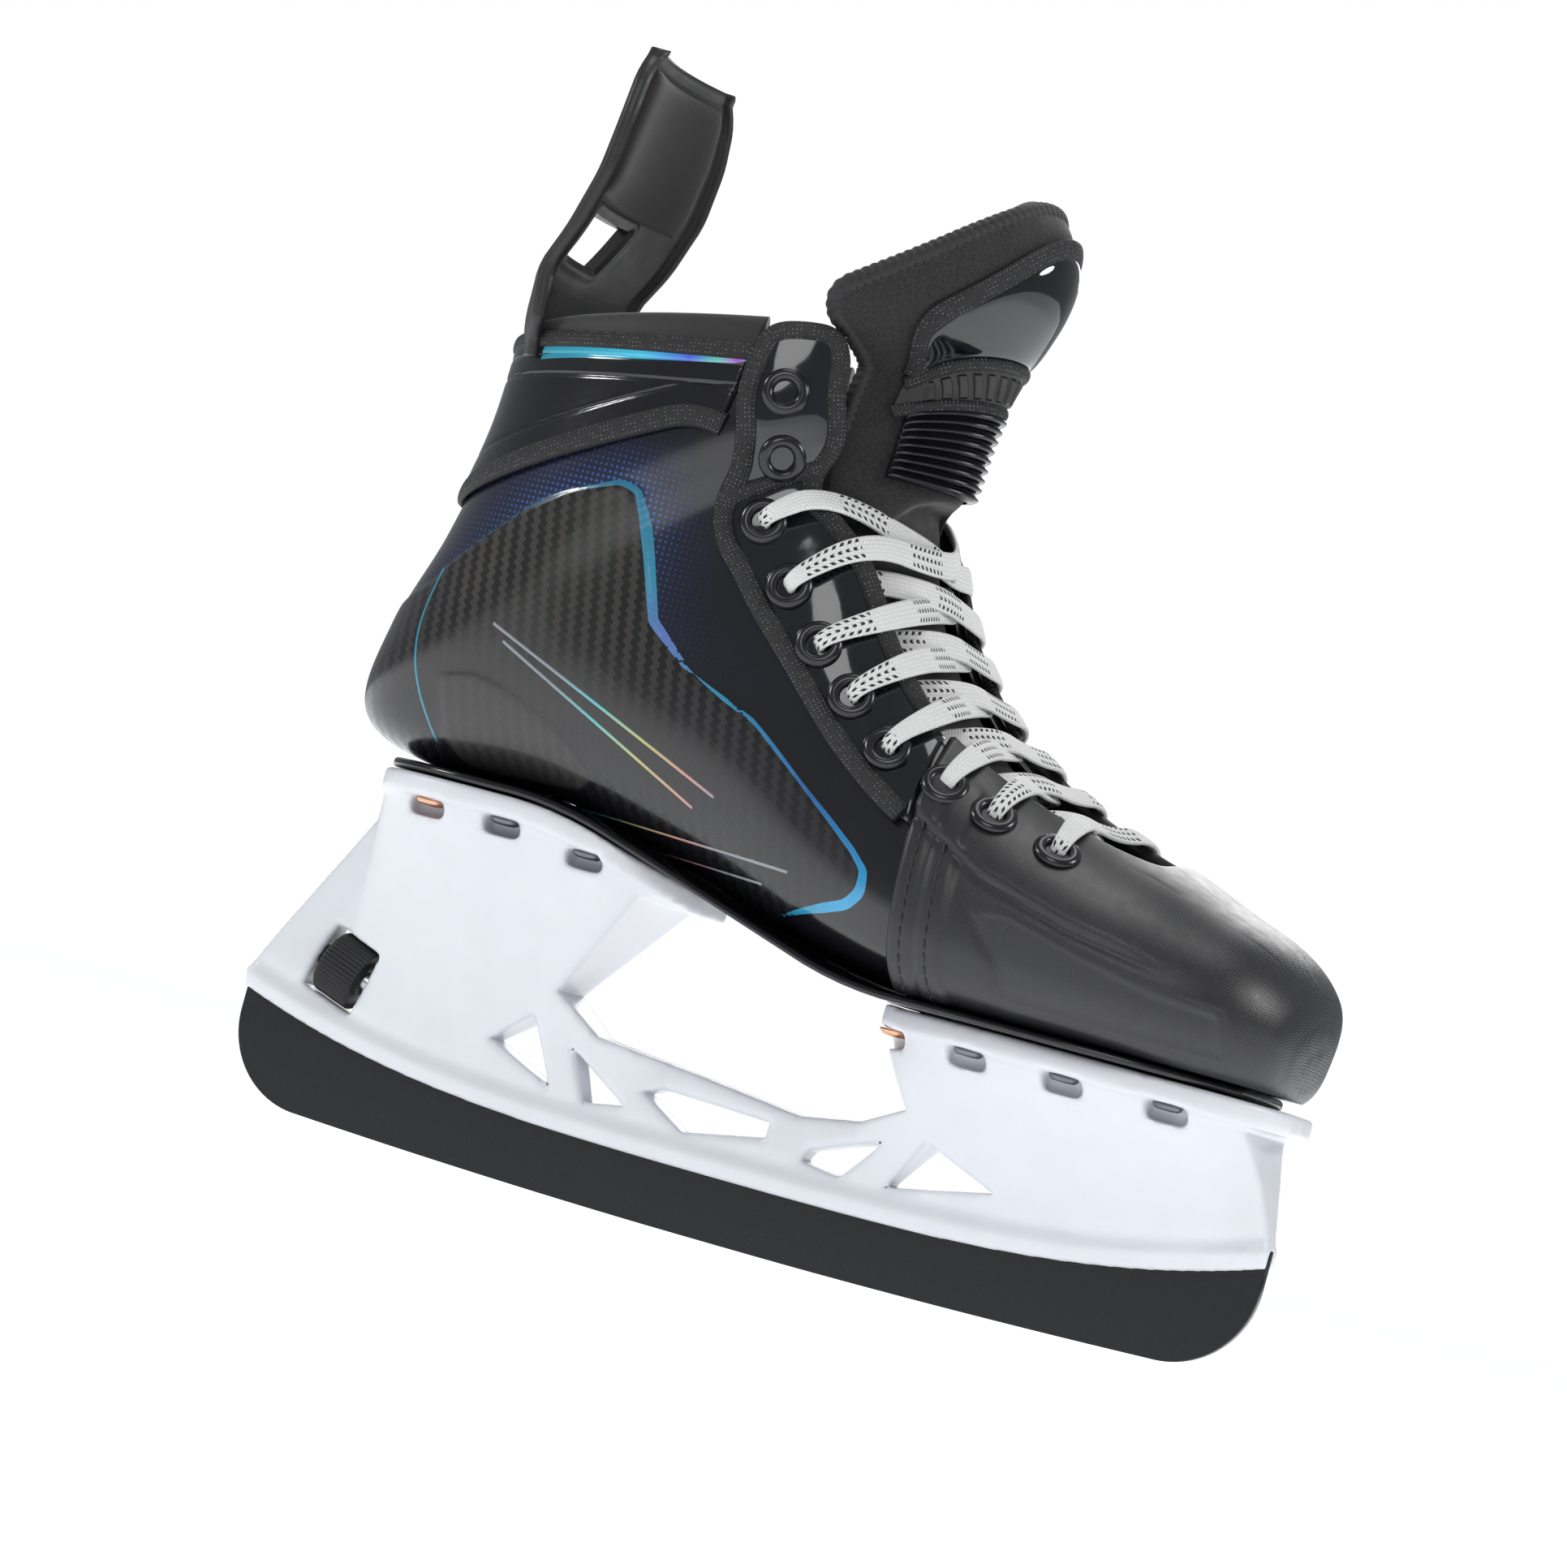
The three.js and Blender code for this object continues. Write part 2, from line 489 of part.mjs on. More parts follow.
const onShell = (i, j) => {
  const u = SHELL_FRONT + (COLLAR_LINE - SHELL_FRONT) * i;
  return [u, THREE.MathUtils.lerp(-frontEdge(u, -1), frontEdge(u, 1), j)];
};
const shell = panel(18, 16, onShell, 0, -SHELL_WALL);
const shellRoom = solid(panel(18, 16, (i, j) => onShell(1.02 * i - 0.02, j), 2 * GAP, -SHELL_WALL - GAP));
add('quarter_shell', cut(solid(shell), underSole, ...eyeletHoles, ...shankHoles), 0x15161b, 0.3);

// Length of the toe cap along each line that runs back from the toe
function capEnd(v) {
  const edge = frontEdge(CAP_REAR, Math.sign(v));
  const size = Math.abs(v);
  if (size <= edge) return CAP_REAR;
  return CAP_THROAT + (CAP_REAR - CAP_THROAT) * (1 - (size - edge) / (1 - edge)) ** 10;
}
function capLines(side) {
  const edge = frontEdge(CAP_REAR, side);
  return [...steps(5, 0, 0.6), (0.6 + edge) / 2, edge, edge + 0.012, edge + 0.04, (edge + 1.1) / 2]
    .map((v) => side * v);
}
const capRing = [-1, ...capLines(-1).reverse(), ...capLines(1).slice(1)];
const cap = sheet(steps(8).map((i) => capRing.map((v) => {
  const u = 0.02 + (capEnd(v) - 0.02) * i;
  return [onLast(u, v, layerGap + CAP_WALL), onLast(u, v, layerGap)];
})), { pole: true, ring: true });
add('toe_cap', cut(solid(cap), underSole, shellRoom, ...eyeletHoles, ...shankHoles), 0x1d1e20, 0.6);

const onLiner = (i, j) => {
  const u = 2.2 + (COLLAR_LINE - 2.2) * i;
  const reach = u < 4 ? 0.8 : rearEdge(u) - 0.02;
  return [u, THREE.MathUtils.lerp(-reach, reach, j)];
};
const linerFace = -SHELL_WALL - foamRoom;
const liner = panel(14, 10, onLiner, linerFace, linerFace - LINER_WALL);
add('inner_liner', liner, 0x1b1b1d, 0.9);

const bedDepth = linerFace - LINER_WALL - foamRoom;
const footbed = panel(12, 4, (i, j) => {
  const u = 3.2 + (10.6 - 3.2) * i;
  return [u, 0.2 * (2 * j - 1)];
}, bedDepth, bedDepth - FOOTBED_THICKNESS);
add('footbed', footbed, 0x2b2c30, 0.9);

// ---- Tendon guard: a curved upright on a base that is held in the collar, with a pad on its front --------
const GUARD_ROWS = [
  { z: 142.5, edge: -103, spine: -115, half: 31 },
  { z: 153, edge: -105, spine: -117, half: 33 },
  { z: 167, edge: -107, spine: -116, half: 33 },
  { z: 179, edge: -101, spine: -111, half: 35 },
  { z: 195, edge: -96, spine: -106, half: 36.5 },
  { z: 211, edge: -94.5, spine: -103, half: 36.5 },
  { z: 223, edge: -94.5, spine: -101, half: 34 },
  { z: 231, edge: -95, spine: -100, half: 27 },
];
const GUARD_WALL = 3.2;
const GUARD_FOLD = 153.5;            // height of the fold over the ball sole
const PAD_THICKNESS = 4;
const COLLAR_REAR = -118.5;          // the guard keeps its distance from the back of the collar
function guardSpot(h, s, out) {
  const k = Math.max(1, GUARD_ROWS.findIndex((row) => row.z >= h));
  const [a, b] = [GUARD_ROWS[k - 1], GUARD_ROWS[k]];
  const f = (h - a.z) / (b.z - a.z);
  const mix = (name) => a[name] + (b[name] - a[name]) * f;
  const depth = mix('edge') - mix('spine');
  const slope = Math.atan2(2 * depth * s, mix('half'));
  const x = COLLAR_REAR * scale.x + (mix('spine') - COLLAR_REAR) + depth * s * s * scale.x - out * Math.cos(slope);
  const y = mix('half') * scale.y * s + out * Math.sin(slope);
  return new THREE.Vector3(x, y, HOLDER_HEIGHT + h * scale.z);
}
function guardSheet(heights, reach, outer, inner, cols = 8) {
  return sheet(heights.map((h) => steps(cols, -reach, reach).map((s) => [guardSpot(h, s, outer), guardSpot(h, s, inner)])));
}
const guardHeights = GUARD_ROWS.map((row) => row.z).filter((h) => h > GUARD_FOLD);
const guardWindow = slab([[-16, 173], [-13, 186], [13, 186], [9, 173]].map(([y, h]) => [y, h * scale.z]), 40);
guardWindow.rotateZ(Math.PI / 2).translate(-108 * scale.x, 0, HOLDER_HEIGHT);
const guard = cut(solid(guardSheet([GUARD_FOLD + GAP, ...guardHeights], 1, GUARD_WALL / 2, -GUARD_WALL / 2)), solid(guardWindow));
add('tendon_guard', guard, 0x1c1c1e, 0.6);
add('tendon_guard_pad', guardSheet([189, 195, 211, 223, 226], 0.84,
  -GUARD_WALL / 2 - GAP, -GUARD_WALL / 2 - GAP - PAD_THICKNESS), 0x161414, 0.9);
add('tendon_guard_base', guardSheet([GUARD_ROWS[0].z, GUARD_FOLD], 0.9, GUARD_WALL / 2 - 1, -GUARD_WALL / 2), 0x1c1c1e, 0.6);
const guardRoom = solid(guardSheet([GUARD_ROWS[0].z - 3, GUARD_FOLD + 12], 0.95, GUARD_WALL / 2 + 6, -GUARD_WALL / 2 - 0.5));

// ---- Cuff, collar, facings ------------------------------------------------------------------------------
const CUFF_LINE = 14.47;
const cuffLow = (v) => CUFF_LINE - 0.9 * Math.max(0, (Math.abs(v) - 0.5) / 0.15) ** 2;
const cuff = panel(3, 18, (i, j) => {
  const reach = 0.585;
  const v = reach * (2 * j - 1);
  return [THREE.MathUtils.lerp(cuffLow(v), COLLAR_LINE - 0.25, i), v];
}, layerGap + CUFF_WALL, layerGap);
add('ankle_cuff', cuff, 0x101114, 0.25);

const collar = panel(2, 20, (i, j) => {
  const u = COLLAR_LINE + 0.03 + (RIM - COLLAR_LINE - 0.03) * i;
  const reach = rearEdge(u) - 0.006;
  return [u, reach * (2 * j - 1)];
}, 0.8, -SHELL_WALL - LINER_WALL);
add('collar_pad', cut(solid(collar), guardRoom), 0x161616, 0.8);

[['outer', -1], ['inner', 1]].forEach(([name, side]) => {
  const facing = panel(18, 2, (i, j) => {
    const u = CAP_REAR + 0.03 + (RIM - 0.1 - CAP_REAR) * i;
    const shift = side > 0 ? INNER_SHIFT : 0;
    return [u, side * THREE.MathUtils.lerp(rearEdge(u) + shift, frontEdge(u, side), j)];
  }, layerGap + FACING_WALL, layerGap);
  add(`facing_${name}`, cut(solid(facing), ...eyeletHoles), 0x0b0c0f, 0.12);
});

// ---- Tongue: a lower part under the laces and an upper part that folds forward ---------------------------
const TONGUE_DEPTH = -7.6;
const tongueLower = sheet(steps(9).map((i) => steps(6, -1, 1).map((s) => {
  const u = 5.1 + (9.25 - 5.1) * i;
  const v = (s < 0 ? -1 : 1) * (1 - 0.36 * Math.abs(s));
  return [onLast(u, v, TONGUE_DEPTH), onLast(u, v, TONGUE_DEPTH - TONGUE_THICKNESS + 2)];
})));
add('tongue_lower', tongueLower, 0x121314, 0.9);

const TONGUE_LINE = new THREE.SplineCurve([[9.5, 121], [11, 128], [12, 139], [13, 153], [17, 173], [22, 189],
  [23, 200], [21, 210], [15, 217]].map(([x, h]) => new THREE.Vector2(x, h)));
const TONGUE_CENTRE = 5;
function tongueSpot(t, s, out) {
  const low = 133;
  const top = 217 - 46 * Math.abs(s) ** 2.4;
  const h = low + (top - low) * t;
  let [a, b] = [0, 1];
  for (let i = 0; i < 24; i += 1) {
    const mid = (a + b) / 2;
    if (TONGUE_LINE.getPoint(mid).y < h) a = mid;
    else b = mid;
  }
  const flare = THREE.MathUtils.smoothstep(h, 166, 184);
  const half = 26 + 19 * flare;
  const depth = 30 + 14 * flare;
  const power = 1.7 + 0.2 * flare;
  const size = Math.abs(s);
  const normal = new THREE.Vector3(half, Math.sign(s) * power * depth * size ** (power - 1), 0).normalize();
  return new THREE.Vector3(TONGUE_LINE.getPoint(a).x - depth * size ** power, TONGUE_CENTRE + half * s, h)
    .addScaledVector(normal, out)
    .multiply(new THREE.Vector3(scale.x, scale.y, scale.z))
    .add(new THREE.Vector3(0, 0, HOLDER_HEIGHT));
}
function tongueSheet(from, to, reach, outer, inner, rows = 6, cols = 12) {
  return sheet(steps(rows, from, to).map((t) => steps(cols, -reach, reach).map((s) => [
    tongueSpot(t, s, outer), tongueSpot(t, s, inner)])));
}
const FOLD_ROOM = 0.02;
add('tongue_upper', tongueSheet(FOLD_ROOM, 1, 1, 0, -TONGUE_THICKNESS), 0x151515, 0.95);
add('tongue_ribs', tongueSheet(FOLD_ROOM, 0.3, 0.5, 3.2, 1.2, 5, 6), 0x0a0b0c, 0.15);
add('tongue_band', tongueSheet(0.32, 0.46, 0.8, 2.6, 1.2, 2, 12), 0x141414, 0.5);
add('tongue_shield', tongueSheet(0.48, 0.78, 0.62, 2.6, 1.2, 3, 8), 0x0a0a0c, 0.1);

// ---- Eyelets and rivets ---------------------------------------------------------------------------------
// A wide flange on a curved wall touches it at its edge, so it seats higher
const flangeStandOff = 2 * GAP * (EYELET_FLANGE / 13) ** 2;
const capTop = layerGap + CAP_WALL + flangeStandOff;
const facingTop = layerGap + FACING_WALL + flangeStandOff;
eyelets.forEach((e) => {
  const seat = e.onCap ? capTop : facingTop;
  const profile = [
    [EYELET_BORE / 2, -SHELL_WALL - 0.4], [EYELET_BARREL / 2, -SHELL_WALL - 0.4], [EYELET_BARREL / 2, seat],
    [EYELET_FLANGE / 2, seat], [EYELET_FLANGE / 2 - 1.4, seat + 1.2], [EYELET_BORE / 2, seat + 0.6],
    [EYELET_BORE / 2, -SHELL_WALL - 0.4],
  ].map(([r, h]) => new THREE.Vector2(r, h));
  const geometry = new THREE.LatheGeometry(profile, 10);
  const turn = new THREE.Quaternion().setFromUnitVectors(new THREE.Vector3(0, 1, 0), outward(e.u, e.v));
  const at = onLast(e.u, e.v);
  const side = e.side < 0 ? 'outer' : 'inner';
  add(`eyelet_${side}_${e.number}`, geometry.applyQuaternion(turn).translate(at.x, at.y, at.z), 0x1a1b1e, 0.3, 0.6);
});

rivetSpots.forEach((r) => {
  const under = soleHeight(r.x) - FLANGE_THICKNESS - GAP;
  const profile = [[0, under - 1.4], [RIVET_HEAD / 2 - 1, under - 1.4], [RIVET_HEAD / 2, under - 0.6],
    [RIVET_HEAD / 2, under], [RIVET_SHANK / 2, under], [RIVET_SHANK / 2, shankTop(r.x)], [0, shankTop(r.x)]];
  const geometry = new THREE.LatheGeometry(profile.map(([x, z]) => new THREE.Vector2(x, z)), 8);
  add(r.name, geometry.rotateX(Math.PI / 2).translate(r.x, r.y, 0), r.copper ? 0xb9795a : 0x4a4d55, 0.3, 1);
});

// ---- Lace: one flat lace, crossed from the toe up, both ends entering the third eyelets from outside -----
const UNDER = -4.6;
const OVER = EYELET_FLANGE / 2 - 0.1;       // the lace leaves an eyelet over its flange
const MID_HIGH = -0.6;
const MID_LOW = -2.8;
const MID_PLACE = 0.92;
const TOP_ROW = 3;
const BOTTOM_ROW = 10;
const eyeletAt = (side, number) => eyelets.find((e) => e.side === side && e.number === number);
const laceStop = (u, v, out, bored = false) => ({ u, v, out, bored });

// Edge of the laced opening: the facings above, the wings of the toe cap below
function openingEdge(u, side) {
  const edge = frontEdge(Math.max(u, CAP_REAR), side);
  if (u >= CAP_REAR) return edge;
  return edge + (1 - edge) * (1 - ((u - CAP_THROAT) / (CAP_REAR - CAP_THROAT)) ** 0.1);
}

// The stop on a line along the boot that is nearest to a point
function nearestStop(point, place, out) {
  const distances = steps(300, CAP_THROAT + 0.1, 14).map((u) => ({ u, far: spot(u, place(u)).distanceTo(point) }));
  const { u } = distances.reduce((best, next) => (next.far < best.far ? next : best));
  return laceStop(u, place(u), out);
}

// From the eyelet on one side to the eyelet one row up on the other side
function crossing(side, number, intoInside) {
  const from = eyeletAt(side, number);
  const to = eyeletAt(-side, number - 1);
  const [a, b] = [spot(from.u, from.v), spot(to.u, to.v)];
  const stopAt = (share, place, out) => nearestStop(a.clone().lerp(b, share), place, out);
  const upper = number === TOP_ROW + 1 ? side < 0 : side > 0;
  const middle = upper ? MID_HIGH : MID_LOW;
  const lastOut = intoInside ? UNDER : OVER;
  return [
    laceStop(from.u, from.v, UNDER, true),
    laceStop(from.u, from.v, OVER + 1.4, true),
    stopAt(0.1, (u) => side * (openingEdge(u, side) + 0.01), OVER),
    stopAt(0.4, () => side * MID_PLACE, middle),
    stopAt(0.6, () => -side * MID_PLACE, middle),
    stopAt(0.9, (u) => -side * (openingEdge(u, -side) + 0.01), lastOut),
  ];
}

function laceEnd(side) {
  const e = eyeletAt(side, TOP_ROW);
  return [
    laceStop(e.u, e.v, OVER + 1.4, true),
    laceStop(e.u, e.v, UNDER, true),
    laceStop(e.u - 0.5, side * (Math.abs(e.v) + 0.02), UNDER - 0.3),
  ];
}
function laceHalf(startSide) {
  const stops = [];
  let side = startSide;
  for (let number = BOTTOM_ROW; number > TOP_ROW; number -= 1) {
    stops.push(...crossing(side, number, number > TOP_ROW + 1));
    side = -side;
  }
  return [...stops, ...laceEnd(side)];
}
const bar = [laceStop(5.1, -0.9, UNDER + 0.2), laceStop(5.1, 0.9, UNDER + 0.2)];
const laceStops = [...laceHalf(-1).reverse(), ...bar, ...laceHalf(1)];
const lacePath = laceStops.map((stop) => onLast(stop.u, stop.v, stop.out));
const laceRows = lacePath.map((point, i) => {
  const stop = laceStops[i];
  const before = lacePath[Math.max(i - 1, 0)];
  const after = lacePath[Math.min(i + 1, lacePath.length - 1)];
  const tangent = after.clone().sub(before).normalize();
  const wide = spot(stop.u + 0.05, stop.v).sub(spot(stop.u - 0.05, stop.v));
  wide.addScaledVector(tangent, -wide.dot(tangent)).normalize();
  const thick = tangent.clone().cross(wide);
  const [w, t] = stop.bored ? [2.1, 1.1] : [LACE_WIDTH / 2, LACE_THICKNESS / 2];
  return steps(7, 0, 7).map((k) => {
    const angle = (k + 0.5) * Math.PI / 4;
    return point.clone().addScaledVector(wide, w * Math.cos(angle)).addScaledVector(thick, t * Math.sin(angle));
  });
});
function sweep(rows) {
  const sides = rows[0].length;
  const positions = rows.flat();
  const index = [];
  for (let i = 0; i < rows.length - 1; i += 1) {
    for (let j = 0; j < sides; j += 1) {
      const k = (j + 1) % sides;
      const [a, b] = [i * sides + j, i * sides + k];
      index.push(a, b, b + sides, a, b + sides, a + sides);
    }
  }
  const lastRow = (rows.length - 1) * sides;
  for (let j = 1; j < sides - 1; j += 1) {
    index.push(0, j + 1, j, lastRow, lastRow + j, lastRow + j + 1);
  }
  return closed(positions, index);
}
add('lace', sweep(laceRows), 0xe8e6e1, 0.9);

export default object;
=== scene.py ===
# %% [markdown]
# # A right-foot ice hockey skate
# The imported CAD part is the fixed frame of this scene. Every visible piece is built in metres in that same
# frame, so nothing has to be fitted by hand. The boot is made as the real one is: a last gives the shape of the
# foot, and each layer is a skin at its own distance from the last.

# %% Load the frame
import math

import bmesh
import bpy
import numpy as np
from mathutils import Matrix, Vector, kdtree


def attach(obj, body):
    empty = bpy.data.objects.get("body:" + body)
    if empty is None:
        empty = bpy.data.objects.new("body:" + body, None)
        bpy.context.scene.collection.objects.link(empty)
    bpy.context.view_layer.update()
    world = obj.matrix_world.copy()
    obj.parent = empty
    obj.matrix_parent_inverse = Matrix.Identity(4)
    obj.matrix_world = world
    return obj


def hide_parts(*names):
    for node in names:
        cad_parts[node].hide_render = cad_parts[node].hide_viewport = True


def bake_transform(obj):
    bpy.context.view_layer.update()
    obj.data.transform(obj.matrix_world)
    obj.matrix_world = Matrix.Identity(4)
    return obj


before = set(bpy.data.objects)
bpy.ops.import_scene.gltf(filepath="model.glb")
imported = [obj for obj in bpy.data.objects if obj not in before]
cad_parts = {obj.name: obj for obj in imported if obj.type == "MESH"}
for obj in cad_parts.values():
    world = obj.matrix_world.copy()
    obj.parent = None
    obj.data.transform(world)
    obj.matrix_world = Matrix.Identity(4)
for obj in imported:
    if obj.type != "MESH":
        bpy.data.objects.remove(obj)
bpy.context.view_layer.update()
MM = 0.001
scene = bpy.context.scene

# %% [markdown]
# ## Camera
# A long lens a good arm's length away keeps the skate's lines nearly parallel. The camera sits slightly below
# the boot, turned a little towards the toe, and is rolled so that the toe dips. A lens shift places the skate
# in the picture without changing the perspective.

# %% Camera
CAMERA_TURN = 19.5                  # degrees from square-on to the outer side, towards the toe
CAMERA_RISE = -3.0
CAMERA_ROLL = 15.4
CAMERA_DISTANCE = 1.7
AIM = Vector((0.0, 0.0, 0.14))
LENS_PER_METRE = 86.5               # lens length in mm for each metre of distance, at a 36 mm sensor
LENS_SHIFT = (-0.0432, -0.0318)     # in sensor widths


def add_camera():
    turn, rise = math.radians(CAMERA_TURN), math.radians(CAMERA_RISE)
    back = Vector((math.sin(turn) * math.cos(rise), -math.cos(turn) * math.cos(rise), math.sin(rise)))
    camera = bpy.data.objects.new("camera", bpy.data.cameras.new("camera"))
    scene.collection.objects.link(camera)
    camera.data.lens = LENS_PER_METRE * CAMERA_DISTANCE
    camera.data.shift_x, camera.data.shift_y = LENS_SHIFT
    camera.rotation_mode = "QUATERNION"
    camera.location = AIM + back * CAMERA_DISTANCE
    level = (-back).to_track_quat("-Z", "Y").to_matrix()
    roll = Matrix.Rotation(math.radians(CAMERA_ROLL), 3, "Z")
    camera.rotation_quaternion = (level @ roll).to_quaternion()
    scene.camera = camera
    return camera


print("camera stands at", [round(c, 3) for c in add_camera().location])

# %% [markdown]
# ## The last
# Seventeen sections fan from the toe, over the instep, to the collar. Each joins a point on the sole or heel to
# a point on the front, and bulges to its own half width between them. A place on the boot is then two numbers:
# u counts the sections, and v runs from 0 on the sole line to 1 on the front line, below zero on the outer side.
# The sections are worked out once on a dense grid, and every place is read from that grid.

# %% Sizes that the CAD part also uses, in mm
SOLE_HEIGHT = 73.0
HEEL_PITCH = 27.0
RAMP_FROM, RAMP_TO, RAMP_EASE = -64.0, 29.0, 12.0
SECTIONS = np.array([
    # sole x, z    front x, z    half  widest  square low, high  lean
    [142.5, 9, 143.5, 16, 6, 0.5, 2, 2, 3],
    [141, 5, 143.5, 24, 18, 0.45, 2.4, 2.2, 5],
    [136.5, 3.5, 140.5, 32, 29, 0.42, 2.8, 2.4, 7],
    [125, 3, 129, 40.5, 40, 0.38, 3, 2.4, 8],
    [106, 3, 107, 48, 47, 0.36, 3, 2.3, 9],
    [84, 3, 81, 56.5, 50.5, 0.34, 3, 2.2, 9],
    [62, 3, 55, 68.5, 51, 0.31, 3, 2.2, 9],
    [40, 3, 31.5, 86.5, 48.5, 0.29, 3, 2.2, 10],
    [12, 7.5, 15, 109, 44, 0.31, 2.8, 2.3, 11],
    [-28, 20, 8, 130, 41, 0.35, 2.6, 2.5, 12],
    [-72, 30, 6, 140, 39, 0.4, 2.8, 2.6, 12],
    [-110, 30.5, 5, 146, 38.5, 0.44, 2.6, 2.6, 12],
    [-133.5, 39, 4, 150, 39, 0.48, 2.3, 2.6, 12],
    [-134, 63, 4, 154, 40.5, 0.5, 2, 2.6, 12],
    [-125.5, 90, 3, 160, 41.5, 0.5, 2, 2.6, 12],
    [-119.5, 121, 2, 166, 40, 0.5, 2, 2.6, 11],
    [-118.5, 149, 1, 171, 38.5, 0.5, 2, 2.6, 10],
])
RIM = len(SECTIONS) - 1


def sole_height(x):
    """Height of the holder's flange tops: level under the heel, a ramp at the arch, level under the ball."""
    x = np.asarray(x, float)
    shares = [np.clip((RAMP_TO - x - s * RAMP_EASE) / (RAMP_TO - RAMP_FROM), 0, 1) for s in (-1, -0.5, 0, 0.5, 1)]
    return SOLE_HEIGHT + HEEL_PITCH * sum(shares) / len(shares)


def section_at(u):
    """The nine numbers of a section, on a smooth curve through the table's rows."""
    k = min(int(u), RIM - 1)
    f = u - k
    p1, p2 = SECTIONS[k], SECTIONS[k + 1]
    p0 = SECTIONS[k - 1] if k > 0 else 2 * p1 - p2
    p3 = SECTIONS[k + 2] if k + 2 <= RIM else 2 * p2 - p1
    return 0.5 * (2 * p1 + (p2 - p0) * f + (2 * p0 - 5 * p1 + 4 * p2 - p3) * f * f
                  + (3 * p1 - p0 - 3 * p2 + p3) * f ** 3)


U_STEPS, V_STEPS, GIRTH_STEPS = 1600, 400, 360


def last_table():
    table = np.zeros((U_STEPS + 1, V_STEPS + 1, 4))
    t = (1 - np.cos(np.pi * np.arange(GIRTH_STEPS + 1) / GIRTH_STEPS)) / 2
    shares = np.arange(V_STEPS + 1) / V_STEPS
    for row in range(U_STEPS + 1):
        x0, z0, x1, z1, half, widest, low, high, lean = section_at(RIM * row / U_STEPS)
        reach = np.where(t < widest, (widest - t) / widest, (t - widest) / (1 - widest))
        power = np.where(t < widest, low, high)
        y = half * np.maximum(0, 1 - reach ** power) ** (1 / power)
        shift = lean * (np.maximum(0, t - widest) / (1 - widest)) ** 2
        x, z = x0 + (x1 - x0) * t, z0 + (z1 - z0) * t + SOLE_HEIGHT
        along = np.concatenate([[0], np.cumsum(np.sqrt(np.diff(x) ** 2 + np.diff(y) ** 2 + np.diff(z) ** 2))])
        along /= along[-1]
        for k, line in enumerate((x, y, z, shift)):
            table[row, :, k] = np.interp(shares, along, line)
    return table


LAST = last_table()
print("last sampled on", LAST.shape[:2], "places")


# %% Places on the last
def spot(u, v):
    """Points of the last in mm, for arrays of u and v."""
    u, v = np.broadcast_arrays(np.asarray(u, float), np.asarray(v, float))
    a = np.clip(u / RIM, 0, 1) * U_STEPS
    b = np.clip(np.abs(v), 0, 1) * V_STEPS
    i, j = np.minimum(a.astype(int), U_STEPS - 1), np.minimum(b.astype(int), V_STEPS - 1)
    f, g = (a - i)[..., None], (b - j)[..., None]
    p = (LAST[i, j] * (1 - f) * (1 - g) + LAST[i + 1, j] * f * (1 - g)
         + LAST[i, j + 1] * (1 - f) * g + LAST[i + 1, j + 1] * f * g)
    return np.stack([p[..., 0], np.sign(v) * p[..., 1] + p[..., 3], p[..., 2]], axis=-1)


def unit(a):
    return a / np.maximum(np.linalg.norm(a, axis=-1, keepdims=True), 1e-12)


def outward(u, v):
    """Unit normals of the last."""
    u, v = np.broadcast_arrays(np.asarray(u, float), np.asarray(v, float))
    mid = np.clip(u, 0.06, RIM - 0.06)
    along = spot(mid + 0.06, v) - spot(mid - 0.06, v)
    edge = (np.abs(v) < 0.02) | (np.abs(v) > 0.98)
    around = np.where(edge[..., None], np.array([0.0, 1.0, 0.0]), spot(mid, v + 0.012) - spot(mid, v - 0.012))
    normal = unit(np.cross(along, around))
    core = (spot(mid, np.zeros_like(mid)) + spot(mid, np.ones_like(mid))) / 2
    flip = np.sum(normal * (spot(mid, v) - core), axis=-1, keepdims=True) < 0
    return np.where(flip, -normal, normal)


def on_last(u, v, out=0.0):
    out = np.broadcast_to(np.asarray(out, float), np.broadcast_shapes(np.shape(u), np.shape(v), np.shape(out)))
    return spot(u, v) + outward(u, v) * out[..., None]


heel_back = on_last(12, 0)
print("back of the heel, mm:", np.round(heel_back, 1))

# %% [markdown]
# ## Finding a place from its side view
# Piping, stitching and printed lines are easiest to lay out in the side view, as length and height over the
# ball. A search tree over the grid turns such a point into u and v.

# %% Side view to u and v
SEARCH_U, SEARCH_V = 8, 4
search_u = np.arange(0, U_STEPS + 1, SEARCH_U)
search_v = np.arange(0, V_STEPS + 1, SEARCH_V)
side_tree = kdtree.KDTree(len(search_u) * len(search_v))
for a in search_u:
    for b in search_v:
        side_tree.insert((LAST[a, b, 0], LAST[a, b, 2], 0), int(a) * (V_STEPS + 1) + int(b))
side_tree.balance()


def uv_of(points):
    """[u, |v|] for each [x, height over the ball sole] in mm."""
    found = []
    for x, h in points:
        at = side_tree.find((x, h + SOLE_HEIGHT, 0))[1]
        u, v = at // (V_STEPS + 1) / U_STEPS * RIM, at % (V_STEPS + 1) / V_STEPS
        for _ in range(4):
            here = spot(u, v)[[0, 2]]
            du = (spot(u + 0.02, v)[[0, 2]] - here) / 0.02
            dv = (spot(u, v + 0.005)[[0, 2]] - here) / 0.005
            step = np.linalg.lstsq(np.stack([du, dv], 1), np.array([x, h + SOLE_HEIGHT]) - here, rcond=None)[0]
            u = min(max(u + float(np.clip(step[0], -0.2, 0.2)), 0.0), float(RIM))
            v = min(max(v + float(np.clip(step[1], -0.05, 0.05)), 0.0), 1.0)
        found.append((u, v))
    return np.array(found)


